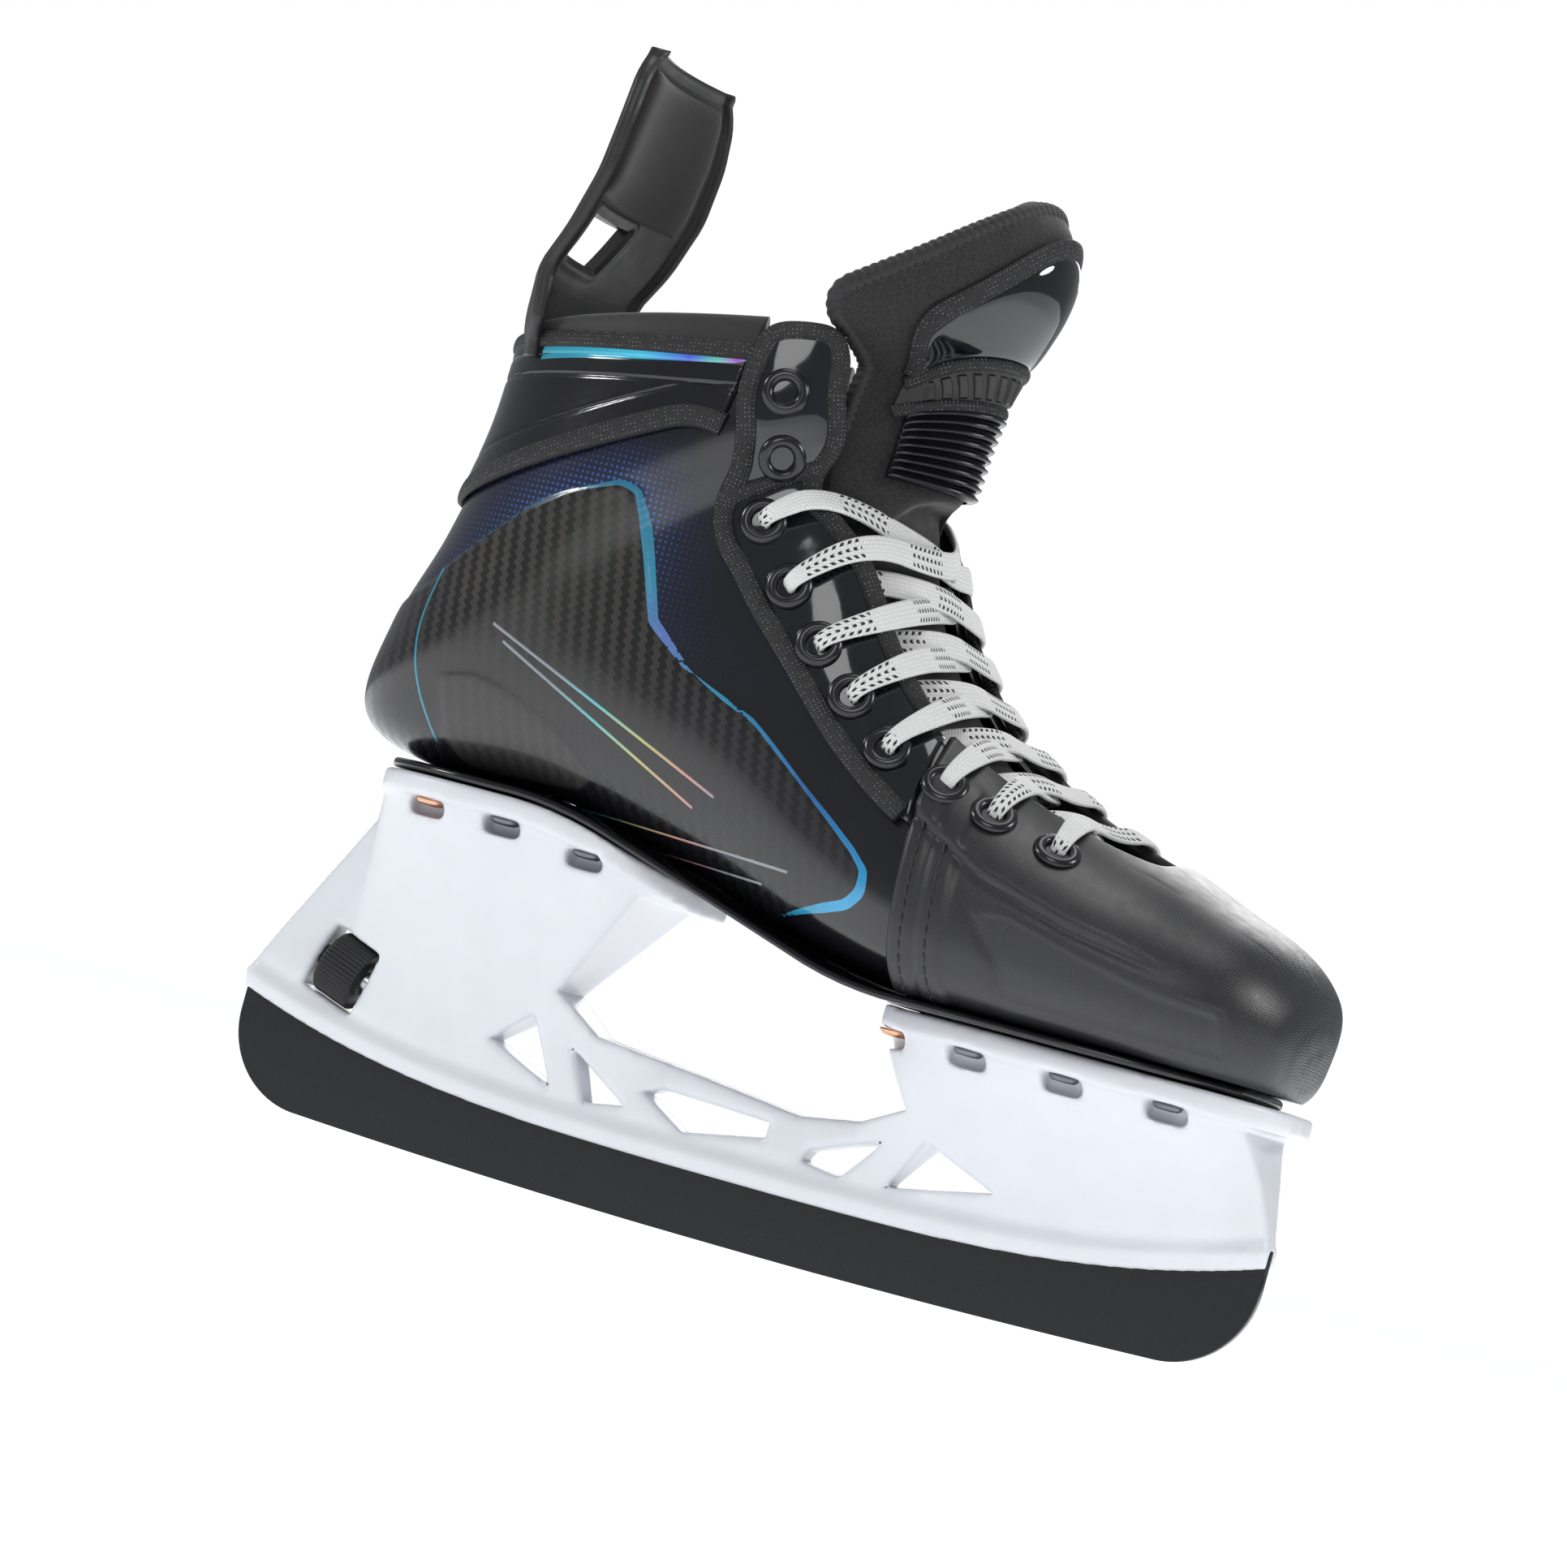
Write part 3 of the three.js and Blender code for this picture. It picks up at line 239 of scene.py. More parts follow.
def smooth_path(points, gap=1.0, rounds=2, crisp=None):
    """A path through points with eased corners, resampled every gap; crisp limits the easing to that far."""
    points = np.asarray(points, float)
    if crisp:
        points = smooth_path(points, crisp, 0)
    for _ in range(rounds):
        cut = [points[0]]
        for a, b in zip(points[:-1], points[1:]):
            cut += [a * 0.75 + b * 0.25, a * 0.25 + b * 0.75]
        points = np.array([*cut, points[-1]])
    far = np.concatenate([[0], np.cumsum(np.linalg.norm(np.diff(points, axis=0), axis=1))])
    at = np.linspace(0, far[-1], max(2, int(far[-1] / gap) + 1))
    return np.stack([np.interp(at, far, points[:, k]) for k in range(points.shape[1])], 1)


print("a point above the ankle is at", np.round(uv_of([(-60, 110)]), 2))

# %% [markdown]
# ## Meshes
# Every layer of the boot is a curved sheet with a wall. The helpers below turn grids of points into closed
# meshes, put them at the origin in metres, and give each piece its body, its CAD nodes and its finish.

# %% Mesh helpers
def piece(name, points, faces, smooth=True):
    """An object named name with its place in its mesh; points in mm."""
    mesh = bpy.data.meshes.new(name)
    mesh.from_pydata((np.asarray(points, float) * MM).tolist(), [], [tuple(int(i) for i in f) for f in faces])
    mesh.validate()
    made = bpy.data.objects.new(name + "_surface" if name in bpy.data.objects else name, mesh)
    scene.collection.objects.link(made)
    for polygon in mesh.polygons:
        polygon.use_smooth = smooth
    return made


def face_outwards(made):
    """Closed meshes only: every face points out."""
    work = bmesh.new()
    work.from_mesh(made.data)
    bmesh.ops.remove_doubles(work, verts=work.verts, dist=1e-7)
    bmesh.ops.recalc_face_normals(work, faces=work.faces)
    if work.calc_volume(signed=True) < 0:  # recalculation can leave a closed shell inside out
        bmesh.ops.reverse_faces(work, faces=work.faces)
    work.to_mesh(made.data)
    work.free()
    return made


def grid_faces(rows, cols, first=0, ring=False):
    i, j = np.meshgrid(np.arange(rows - 1), np.arange(cols if ring else cols - 1), indexing="ij")
    k = (j + 1) % cols
    return np.stack([first + i * cols + j, first + i * cols + k, first + (i + 1) * cols + k,
                     first + (i + 1) * cols + j], -1).reshape(-1, 4)


def sheet(name, outer, inner, ring=False, pole=False):
    """A closed sheet from two grids of points, [rows, columns, 3]."""
    rows, cols = outer.shape[:2]
    count = rows * cols
    faces = [grid_faces(rows, cols, 0, ring), grid_faces(rows, cols, count, ring)[:, ::-1]]
    top = np.arange(cols if ring else cols - 1)
    nxt = (top + 1) % cols
    if not pole:
        faces.append(np.stack([top, top + count, nxt + count, nxt], -1))
    last = (rows - 1) * cols
    faces.append(np.stack([last + nxt, last + nxt + count, last + top + count, last + top], -1))
    if not ring:
        side = np.arange(rows - 1) * cols
        faces.append(np.stack([side, side + cols, side + cols + count, side + count], -1))
        side = side + cols - 1
        faces.append(np.stack([side + cols, side, side + count, side + cols + count], -1))
    points = np.concatenate([outer.reshape(-1, 3), inner.reshape(-1, 3)])
    faces = [tuple(f) for part in faces for f in part]
    if pole:
        points = np.concatenate([points, outer[0].mean(0)[None], inner[0].mean(0)[None]])
        faces += [(2 * count, b, a) for a, b in zip(top, nxt)]
        faces += [(2 * count + 1, a + count, b + count) for a, b in zip(top, nxt)]
    return face_outwards(piece(name, points, faces))


def sweep(name, centre, side, up, section, closed_path=False):
    """A closed bar along centre; section holds [across, above] in mm, in order round the bar."""
    section = np.asarray(section, float)
    if section.ndim == 2:
        section = np.broadcast_to(section, (len(centre), *section.shape))
    rows, cols = len(centre), section.shape[1]
    points = (centre[:, None] + side[:, None] * section[..., :1] + up[:, None] * section[..., 1:]).reshape(-1, 3)
    faces = [tuple(f) for f in grid_faces(rows, cols, 0, ring=True)]
    if closed_path:
        last = (rows - 1) * cols
        faces += [(last + j, last + (j + 1) % cols, (j + 1) % cols, j) for j in range(cols)]
    else:
        faces += [tuple(range(cols)), tuple(range(rows * cols - 1, (rows - 1) * cols - 1, -1))]
    return face_outwards(piece(name, points, faces))


def give_uv(made, name, values):
    """Writes one [u, v] for each vertex into a UV map, for patterns that follow a path."""
    layer = made.data.uv_layers.new(name=name)
    corner = np.zeros(len(made.data.loops), np.int32)
    made.data.loops.foreach_get("vertex_index", corner)
    layer.data.foreach_set("uv", np.asarray(values, np.float32)[corner].ravel())


def give_value(made, name, values):
    """Writes one number for each vertex into an attribute that the materials read."""
    made.data.attributes.new(name, "FLOAT", "POINT").data.foreach_set("value", np.asarray(values, np.float32))


def give_near(made, name, values, points):
    """Gives each vertex the value of the nearest of some points, as an attribute or, for pairs, a UV map."""
    finder = kdtree.KDTree(len(points))
    for number, point in enumerate(points):
        finder.insert(point * MM, number)
    finder.balance()
    chosen = np.array([finder.find(vertex.co)[1] for vertex in made.data.vertices])
    values = np.asarray(values, float)[chosen]
    (give_uv if values.ndim == 2 else give_value)(made, name, values)


def join(made, others):
    """Joins others into made."""
    bpy.ops.object.select_all(action="DESELECT")
    for other in others:
        other.select_set(True)
    made.select_set(True)
    bpy.context.view_layer.objects.active = made
    bpy.ops.object.join()
    made.select_set(False)
    return made


def place(made, body, nodes=(), finish=None):
    """Last step of each piece: its finish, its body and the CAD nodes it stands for."""
    if finish:
        made.data.materials.clear()
        made.data.materials.append(finish)
    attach(made, body)
    if nodes:
        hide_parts(*nodes)
    print(f"{made.name}: {len(made.data.polygons)} faces on {body}")
    return made


# %% [markdown]
# ## Finishes
# A small kit writes the node trees. Each finish has a colour, a roughness and a fine bump, and most mix in wear
# or weave that is measured in millimetres on the object, so it keeps its scale on every piece.

class Finish:
    """A material whose nodes are added one call at a time."""

    def __init__(self, name, color=(0.5, 0.5, 0.5), roughness=0.5, metallic=0.0, **sockets):
        self.material = bpy.data.materials.new(name)
        self.material.use_nodes = True
        self.tree = self.material.node_tree
        self.shader = self.tree.nodes["Principled BSDF"]
        self.set("Base Color", (*color, 1))
        self.set("Roughness", roughness)
        self.set("Metallic", metallic)
        for socket, value in sockets.items():
            self.set(socket.replace("_", " "), value)
        self.object = self.node("ShaderNodeTexCoord").outputs["Object"]

    def set(self, socket, value):
        if isinstance(value, bpy.types.NodeSocket):
            self.tree.links.new(value, self.shader.inputs[socket])
        else:
            self.shader.inputs[socket].default_value = value

    def node(self, kind, *inputs, **settings):
        made = self.tree.nodes.new(kind)
        for name, value in settings.items():
            setattr(made, name, value)
        for index, value in enumerate(inputs):
            if isinstance(value, bpy.types.NodeSocket):
                self.tree.links.new(value, made.inputs[index])
            elif value is not None:
                made.inputs[index].default_value = value
        return made

    def math(self, operation, a, b=0.0, c=0.0):
        return self.node("ShaderNodeMath", a, b, c, operation=operation).outputs[0]

    def axis(self, name, source=None):
        return self.node("ShaderNodeSeparateXYZ", source or self.object).outputs[name]

    def attribute(self, name):
        return self.node("ShaderNodeAttribute", attribute_name=name).outputs["Fac"]

    def uv(self, name):
        return self.node("ShaderNodeUVMap", uv_map=name).outputs["UV"]

    def noise(self, size_mm, detail=3.0, where=None):
        made = self.node("ShaderNodeTexNoise")
        self.tree.links.new(where or self.object, made.inputs["Vector"])
        made.inputs["Scale"].default_value = 1000.0 / size_mm
        made.inputs["Detail"].default_value = detail
        return made.outputs["Fac"]

    def fade(self, value, low, high, out_low=0.0, out_high=1.0):
        made = self.node("ShaderNodeMapRange", value, low, high, out_low, out_high)
        made.clamp = True
        return made.outputs[0]

    def mix(self, share, a, b):
        made = self.node("ShaderNodeMix", data_type="RGBA")
        for socket, value in ((0, share), (6, a), (7, b)):
            if isinstance(value, bpy.types.NodeSocket):
                self.tree.links.new(value, made.inputs[socket])
            else:
                made.inputs[socket].default_value = value if socket == 0 else (*value, 1)
        return made.outputs[2]

    def rainbow(self, value, stops):
        made = self.node("ShaderNodeValToRGB", value)
        ramp = made.color_ramp
        while len(ramp.elements) < len(stops):
            ramp.elements.new(0.5)
        for element, (at, color) in zip(ramp.elements, stops):
            element.position = at
            element.color = (*color, 1)
        return made.outputs[0]

    def bump(self, height, depth_mm, strength=1.0):
        made = self.node("ShaderNodeBump")
        made.inputs["Strength"].default_value = strength
        made.inputs["Distance"].default_value = depth_mm * MM
        self.tree.links.new(height, made.inputs["Height"])
        old = self.shader.inputs["Normal"].links
        if old:
            self.tree.links.new(old[0].from_socket, made.inputs["Normal"])
        self.set("Normal", made.outputs[0])

    def speckle_roughness(self, size_mm, low, high):
        self.set("Roughness", self.fade(self.noise(size_mm), 0.3, 0.7, low, high))


def waves(finish, value, pitch_mm):
    """A soft up-and-down from 0 to 1 along a length in metres."""
    return finish.math("MULTIPLY_ADD", finish.math("SINE", finish.math("MULTIPLY", value, 2000 * math.pi / pitch_mm)),
                       0.5, 0.5)


# %% Plain finishes
def moulded(name, color, roughness, grain_mm=0.6, depth_mm=0.02, spread=0.12, **sockets):
    made = Finish(name, color, **sockets)
    low, high = (0.975, 1.0) if color[0] > 0.6 else (0.85, 1.15)
    made.set("Base Color",
             made.mix(made.fade(made.noise(9), 0.35, 0.65), [c * low for c in color], [c * high for c in color]))
    made.speckle_roughness(5, max(0.02, roughness - spread / 2), roughness + spread / 2)
    if depth_mm:
        made.bump(made.noise(grain_mm, 2), depth_mm)
    return made.material


def woven_binding():
    """Black webbing with pale flecks, woven across the strip."""
    made = Finish("woven_binding", (0.01, 0.01, 0.011), 0.6)
    across, along = made.axis("X", made.uv("path")), made.axis("Y", made.uv("path"))
    weave = made.math("MULTIPLY", waves(made, across, 1.1), waves(made, along, 1.1))
    half_step = made.math("MULTIPLY", waves(made, made.math("ADD", across, 0.00055), 1.1),
                          waves(made, made.math("ADD", along, 0.00055), 1.1))
    threads = made.math("MAXIMUM", weave, half_step)
    fleck = made.math("MULTIPLY", made.fade(weave, 0.72, 0.86), made.fade(made.noise(1.6, 1), 0.48, 0.56))
    made.set("Base Color", made.mix(fleck, (0.008, 0.008, 0.009), (0.16, 0.16, 0.17)))
    made.bump(threads, 0.3)
    return made.material


def felt(name, color, pale):
    made = Finish(name, color, 0.95, Sheen_Weight=0.25, Sheen_Roughness=0.5)
    fuzz = made.noise(0.7, 4)
    made.set("Base Color", made.mix(made.fade(fuzz, 0.35, 0.7), color, pale))
    made.bump(fuzz, 0.25)
    made.bump(made.noise(6, 2), 0.4)
    return made.material


def knit(name, color, pitch_mm=0.9, depth_mm=0.12):
    made = Finish(name, color, 0.85, Sheen_Weight=0.2, Sheen_Roughness=0.4)
    a = waves(made, made.axis("Z"), pitch_mm)
    b = waves(made, made.math("ADD", made.axis("X"), made.axis("Y")), pitch_mm)
    made.bump(made.math("MULTIPLY", a, b), depth_mm)
    made.set("Base Color", made.mix(made.noise(4), color, [c * 1.8 for c in color]))
    return made.material


def smooth_cloth(name, color):
    made = Finish(name, color, 0.62, Sheen_Weight=0.3, Sheen_Roughness=0.4)
    made.bump(made.noise(0.5, 2), 0.05)
    made.bump(made.noise(14, 2), 0.5)
    return made.material


WHITE_PLASTIC = moulded("white_plastic", (0.64, 0.66, 0.70), 0.34, 0.8, 0.004, 0.04)
BARE_STEEL = moulded("plain_steel", (0.45, 0.46, 0.48), 0.3, 0.5, 0.01, 0.1, metallic=1.0)
DARK_STEEL = moulded("dark_steel", (0.16, 0.17, 0.19), 0.3, 0.5, 0.01, 0.1, metallic=1.0)
COPPER = moulded("copper", (0.78, 0.42, 0.28), 0.28, 0.5, 0.01, 0.1, metallic=1.0)
PATENT = moulded("black_patent", (0.004, 0.0045, 0.006), 0.07, 6, 0.03, 0.05, Coat_Weight=0.6, Coat_Roughness=0.04)
GLOSS_BLACK = moulded("gloss_black", (0.006, 0.006, 0.008), 0.16, 3, 0.02, 0.06)
MATTE_BLACK = moulded("matte_black", (0.012, 0.012, 0.0125), 0.42, 0.35, 0.03, 0.1)
EYELET_BLACK = moulded("eyelet_black", (0.01, 0.01, 0.012), 0.22, 2, 0.005, 0.06)
KNURLED = moulded("knurled_black", (0.012, 0.012, 0.013), 0.6, 0.4, 0.08, 0.1)
BINDING = woven_binding()
FELT = felt("grey_felt", (0.006, 0.006, 0.0065), (0.022, 0.022, 0.023))
LINING = knit("knit_lining", (0.01, 0.01, 0.011))
BED_CLOTH = knit("footbed_cloth", (0.03, 0.03, 0.034), 1.4, 0.2)
COLLAR_CLOTH = smooth_cloth("collar_cloth", (0.009, 0.009, 0.01))
PAD_CLOTH = knit("guard_cloth", (0.009, 0.007, 0.007), 0.7, 0.06)
THREAD = moulded("black_thread", (0.01, 0.01, 0.011), 0.5, 0.3, 0.05)
print(len(bpy.data.materials), "finishes")

# %% [markdown]
# ## Quarter shell
# The shell is one moulded piece that wraps the heel and both sides. Its printed panel is not a picture: each
# vertex stores how far it is from the panel's outline, and the finish turns those distances into a crisp edge,
# an iridescent line, a twill weave and a fading field of dots.

# %% Edges of the layers
SHELL_WALL, CAP_WALL, FACING_WALL = 2.5, 2.0, 1.8
LAYER_GAP = 0.8
SHELL_FRONT, CAP_REAR, CAP_THROAT, SHELL_TOP = 6.3, 6.85, 4.45, 15.62
OUTER, INNER = -1, 1
INNER_SHIFT = 0.065


def front_edge(u, side):
    side = np.asarray(side)
    return np.where(side < 0, 0.735, 0.80) + 0.05 * np.exp(-(((u - 12.6) / 1.6) ** 2))


def rear_edge(u):
    at, v = zip((6.6, 0.555), (8.4, 0.538), (9.3, 0.549), (10.5, 0.609), (12.3, 0.667), (13.5, 0.649),
                (14.7, 0.604), (16, 0.612))
    return sum(np.interp(np.asarray(u, float) + d, at, v) for d in (-0.5, -0.25, 0, 0.25, 0.5)) / 5


def rest_on_sole(points, clearance):
    """Keeps a layer above the board it is lasted over."""
    points = points.copy()
    points[..., 2] = np.maximum(points[..., 2], sole_height(points[..., 0]) + clearance)
    return points


def distance_to(points, path):
    """Distance of side-view points to a path, and how far along it the nearest place is, from 0 to 1."""
    points, path = np.asarray(points, float), np.asarray(path, float)
    best, share = np.full(len(points), 1e9), np.zeros(len(points))
    lengths = np.linalg.norm(np.diff(path, axis=0), axis=1)
    starts = np.concatenate([[0], np.cumsum(lengths)])
    for a, b, start, length in zip(path[:-1], path[1:], starts, lengths):
        t = np.clip((points - a) @ (b - a) / length ** 2, 0, 1)
        far = np.linalg.norm(points - (a + t[:, None] * (b - a)), axis=1)
        near = far < best
        best[near] = far[near]
        share[near] = (start + t[near] * length) / starts[-1]
    return best, share


def signed_inside(points, outline):
    """Distance to a closed outline, positive inside."""
    points, outline = np.asarray(points, float), np.asarray(outline, float)
    far, _ = distance_to(points, np.vstack([outline, outline[:1]]))
    inside = np.zeros(len(points), bool)
    for a, b in zip(outline, np.roll(outline, -1, axis=0)):
        crosses = (a[1] > points[:, 1]) != (b[1] > points[:, 1])
        with np.errstate(divide="ignore", invalid="ignore"):
            x = a[0] + (points[:, 1] - a[1]) * (b[0] - a[0]) / (b[1] - a[1])
        inside ^= crosses & (points[:, 0] < x)
    return np.where(inside, far, -far)


def ease(x, low, high):
    t = np.clip((np.asarray(x, float) - low) / (high - low), 0, 1)
    return t * t * (3 - 2 * t)


# %% Outlines printed and moulded on the shell, as [length, height over the ball sole]
TRIM_LINE = smooth_path([(-116, 78), (-113.9, 81.6), (-102.2, 92.4), (-91.6, 102), (-80.5, 108.6), (-66, 114.2),
                         (-61, 113), (-57.5, 106.2), (-47.9, 80.8), (-33.6, 69.7), (-12, 61.5), (25, 35.5),
                         (29.8, 31),
                         (30.3, 25.5), (27, 21.5), (4.6, 14.5)], 1.0, 2, crisp=2.0)
TRIM_WIDTHS = [(0, 0.5), (0.22, 0.7), (0.30, 2.0), (0.34, 3.2), (0.46, 2.6), (0.52, 1.1), (0.72, 1.1), (0.84, 1.6),
               (0.88, 3.0), (0.93, 2.6), (1, 0.4)]
PANEL = np.vstack([TRIM_LINE, [(-30, -10), (-150, 0), (-150, 60)]])
HEEL_LINE = smooth_path([(-113.9, 81.6), (-116.4, 67.4), (-113, 52.4), (-104.2, 36.5)], 1.0)
HEEL_PATCH = smooth_path([(-105, 53.5), (-91.3, 56.3), (-67.5, 47.1), (-52, 34), (-82.3, 32.5), (-100.5, 32.6),
                          (-105, 53.5)], 1.0, 1)
SWEEPS = [smooth_path(line, 1.0, 0) for line in (
    [(-92, 70), (-18, 40)], [(-88, 66), (-24, 36)], [(-78, 30), (8, 26)], [(-70, 25), (0, 21.5)])]

u = np.linspace(SHELL_FRONT, SHELL_TOP, 176)[:, None]
j = np.linspace(0, 1, 211)[None, :]
v = -front_edge(u, OUTER) + (front_edge(u, OUTER) + front_edge(u, INNER)) * j
ground = spot(u, v)
side_view = np.stack([ground[..., 0], ground[..., 2] - SOLE_HEIGHT], -1).reshape(-1, 2)
panel_mm = signed_inside(side_view, PANEL)
trim_far, trim_share = distance_to(side_view, TRIM_LINE)
trim_mm = trim_far - np.interp(trim_share, *zip(*TRIM_WIDTHS)) / 2
patch_mm = signed_inside(side_view, HEEL_PATCH[:-1])
relief = 0.55 * ease(panel_mm, -0.6, 0.8) + 0.35 * ease(patch_mm, -0.5, 0.5)
outer_wall = rest_on_sole(on_last(u, v, relief.reshape(ground.shape[:2]) - 0.3), 3.45)
shell = sheet("quarter_shell", outer_wall, rest_on_sole(on_last(u, v, -SHELL_WALL), 4.4))
for name, values in (("panel", panel_mm), ("trim", trim_mm), ("trim_share", trim_share), ("patch", patch_mm),
                     ("dot_fade", np.interp(panel_mm, [-24, -1], [0, 1]))):
    give_near(shell, name, values, outer_wall.reshape(-1, 3))

# %% Finish of the shell
SPECTRUM = [(0.0, (0.01, 0.07, 0.12)), (0.26, (0.02, 0.14, 0.24)), (0.40, (0.03, 0.22, 0.34)),
            (0.47, (0.10, 0.16, 0.42)), (0.56, (0.03, 0.24, 0.40)), (0.74, (0.02, 0.12, 0.32)),
            (0.90, (0.03, 0.30, 0.55)), (1.0, (0.02, 0.20, 0.30))]


def twill(made, pitch_mm):
    """Share 0 or 1 of a two-over-two weave laid along the diagonals of the side view, and soft waves across it for a
    painted fibre sheen.
    """
    a = made.math("ADD", made.axis("X"), made.axis("Z"))
    b = made.math("SUBTRACT", made.axis("X"), made.math("MULTIPLY", made.axis("Z"), 0.6))
    i = made.math("FLOOR", made.math("MULTIPLY", a, 1000 / pitch_mm))
    k = made.math("FLOOR", made.math("MULTIPLY", b, 1000 / pitch_mm))
    turn = made.math("FLOORED_MODULO", made.math("ADD", i, k), 4)
    return made.math("LESS_THAN", turn, 1.5), waves(made, b, 0.5)


def shell_finish():
    made = Finish("printed_shell", (0.006, 0.006, 0.008), 0.2, Coat_Weight=0.35, Coat_Roughness=0.08)
    panel, trim = made.attribute("panel"), made.attribute("trim")
    over, fibre_sheen = twill(made, 2.1)
    # painted sheen: each strand is lighter along soft waves across its fibres, where light would glance off them
    sheened_strand = made.mix(fibre_sheen, (0.010, 0.009, 0.008), (0.034, 0.030, 0.026))
    weave = made.mix(over, (0.005, 0.005, 0.005), sheened_strand)
    in_panel = made.fade(panel, 0.0, 0.4)
    fading = made.fade(made.axis("Z"), 0.112, 0.150)
    smooth_black = (0.006, 0.006, 0.008)
    base = made.mix(made.math("MULTIPLY", in_panel, fading), smooth_black, weave)
    # a field of dots that fades away from the front of the panel
    dots = made.math("MULTIPLY", waves(made, made.axis("X"), 1.6), waves(made, made.axis("Z"), 1.6))
    reach = made.math("MULTIPLY", made.attribute("dot_fade"), made.fade(made.axis("Z"), 0.138, 0.180))
    reach = made.math("MULTIPLY", reach, made.math("LESS_THAN", panel, -0.2))
    size = made.math("SUBTRACT", 1.0, made.math("MULTIPLY", reach, 0.55))
    dot = made.math("MULTIPLY", made.math("GREATER_THAN", dots, size), reach)
    tint = made.rainbow(made.attribute("dot_fade"),
                        [(0, (0.015, 0.02, 0.06)), (0.6, (0.03, 0.05, 0.22)), (1, (0.05, 0.12, 0.38))])
    base = made.mix(made.math("MULTIPLY", reach, 0.10), base, tint)
    base = made.mix(made.math("MULTIPLY", dot, 0.7), base, tint)
    patch = made.fade(made.attribute("patch"), 0, 0.3)
    base = made.mix(patch, base, (0.022, 0.021, 0.02))
    line = made.math("LESS_THAN", trim, 0)
    base = made.mix(line, base, made.rainbow(made.attribute("trim_share"), SPECTRUM))
    made.set("Base Color", base)
    rough = made.mix(in_panel, (0.20, 0.20, 0.20), (0.26, 0.26, 0.26))
    rough = made.mix(patch, rough, (0.5, 0.5, 0.5))
    made.set("Roughness", made.mix(made.math("MULTIPLY", over, in_panel), rough, (0.36, 0.36, 0.36)))
    made.bump(made.math("MULTIPLY", over, in_panel), 0.04)
    made.bump(made.noise(30, 2), 0.4)
    return made.material


place(shell, "boot", ["quarter_shell"], shell_finish())

# %% [markdown]
# ## Toe cap
# The cap is stiff plastic that runs round the toe and sends a wing back along each side of the lacing. Its
# spike, its sunk panel and the two stitched strips at its rear are moulded, so they are moved in the mesh.

# %% Toe cap
def cap_end(v):
    side = np.sign(v)
    edge, size = front_edge(CAP_REAR, side), np.abs(v)
    share = np.clip((size - edge) / (1 - edge), 0, 1)
    return np.where(size <= edge, CAP_REAR, CAP_THROAT + (CAP_REAR - CAP_THROAT) * (1 - share) ** 10)


def cap_columns(side):
    edge = float(front_edge(CAP_REAR, side))
    return side * np.concatenate([np.linspace(0, edge - 0.01, 110)[1:], np.linspace(edge, edge + 0.06, 22),
                                  np.linspace(edge + 0.065, 1, 24)])


SPIKE = [(20, 60), (20, 90), (120, 90), (146, 46), (137, 38), (126, 27.5), (112, 25.2), (86, 29.5), (62, 36),
         (44, 45)]
SUNK_PANEL = [(64, 27.8), (72, 28.6), (92, 23.6), (112, 19.6), (128, 18.5), (131, 9.5), (76, 10.5)]
column = np.concatenate([[0.0], cap_columns(INNER), cap_columns(OUTER)[-2::-1]])
row = np.linspace(0, 1, 150)[:, None]
v = np.broadcast_to(column[None, :], (len(row), len(column)))
u = 0.02 + (cap_end(v) - 0.02) * row
ground = spot(u, v)
side_view = np.stack([ground[..., 0], ground[..., 2] - SOLE_HEIGHT], -1).reshape(-1, 2)
spike_mm, sunk_mm = signed_inside(side_view, SPIKE), signed_inside(side_view, SUNK_PANEL)
back_mm = np.linalg.norm(ground - spot(cap_end(v), v), axis=-1).reshape(-1)
wing = ease(np.abs(v).reshape(-1), 0.70, 0.66)
plate_fade = ease(side_view[:, 0], 122, 96)
relief = (1.4 * ease(spike_mm, -0.8, 1.6) * plate_fade - 0.9 * ease(sunk_mm, -0.3, 0.9)
          + 0.8 * ease(back_mm, 17.5, 16) * wing - 0.7 * np.exp(-((back_mm - 8.4) / 0.7) ** 2) * wing)
relief -= 0.6 * plate_fade * np.exp(-((spike_mm + 0.9) / 0.8) ** 2) + 0.35 * np.exp(-((sunk_mm + 0.7) / 0.7) ** 2)
rounded = 1.2 * (1 - ease(back_mm, 0, 1.2))
cap = sheet("toe_cap", rest_on_sole(on_last(u, v, LAYER_GAP + CAP_WALL + (relief - rounded).reshape(v.shape)), 3.45),
            rest_on_sole(on_last(u, v, LAYER_GAP), 4.0), ring=True, pole=True)
cap_places = on_last(u, v, LAYER_GAP + CAP_WALL).reshape(-1, 3)
give_near(cap, "sunk", sunk_mm, cap_places)


def cap_finish():
    made = Finish("toe_cap_plastic", (0.02, 0.02, 0.021), 0.42)
    mesh_weave = made.math("MULTIPLY", waves(made, made.math("ADD", made.axis("X"), made.axis("Z")), 0.8),
                           waves(made, made.math("SUBTRACT", made.axis("X"), made.axis("Z")), 0.8))
    low = made.fade(made.axis("Z"), 0.128, 0.104)
    sunk = made.fade(made.attribute("sunk"), 0, 0.4)
    # painted highlight: the lower mesh weave is lighter on its raised threads and darker between them, following the
    # bump height
    base = made.mix(made.math("MULTIPLY", mesh_weave, low), (0.011, 0.011, 0.012), (0.03, 0.03, 0.032))
    made.set("Base Color", made.mix(sunk, base, (0.026, 0.026, 0.028)))
    grain = made.fade(made.noise(4), 0.3, 0.7, 0.34, 0.42)
    made.set("Roughness", made.math("ADD", grain, made.math("MULTIPLY", sunk, 0.12)))
    made.bump(made.noise(0.5, 2), 0.03)
    made.bump(made.math("MULTIPLY", mesh_weave, low), 0.03)
    return made.material


place(cap, "boot", ["toe_cap"], cap_finish())

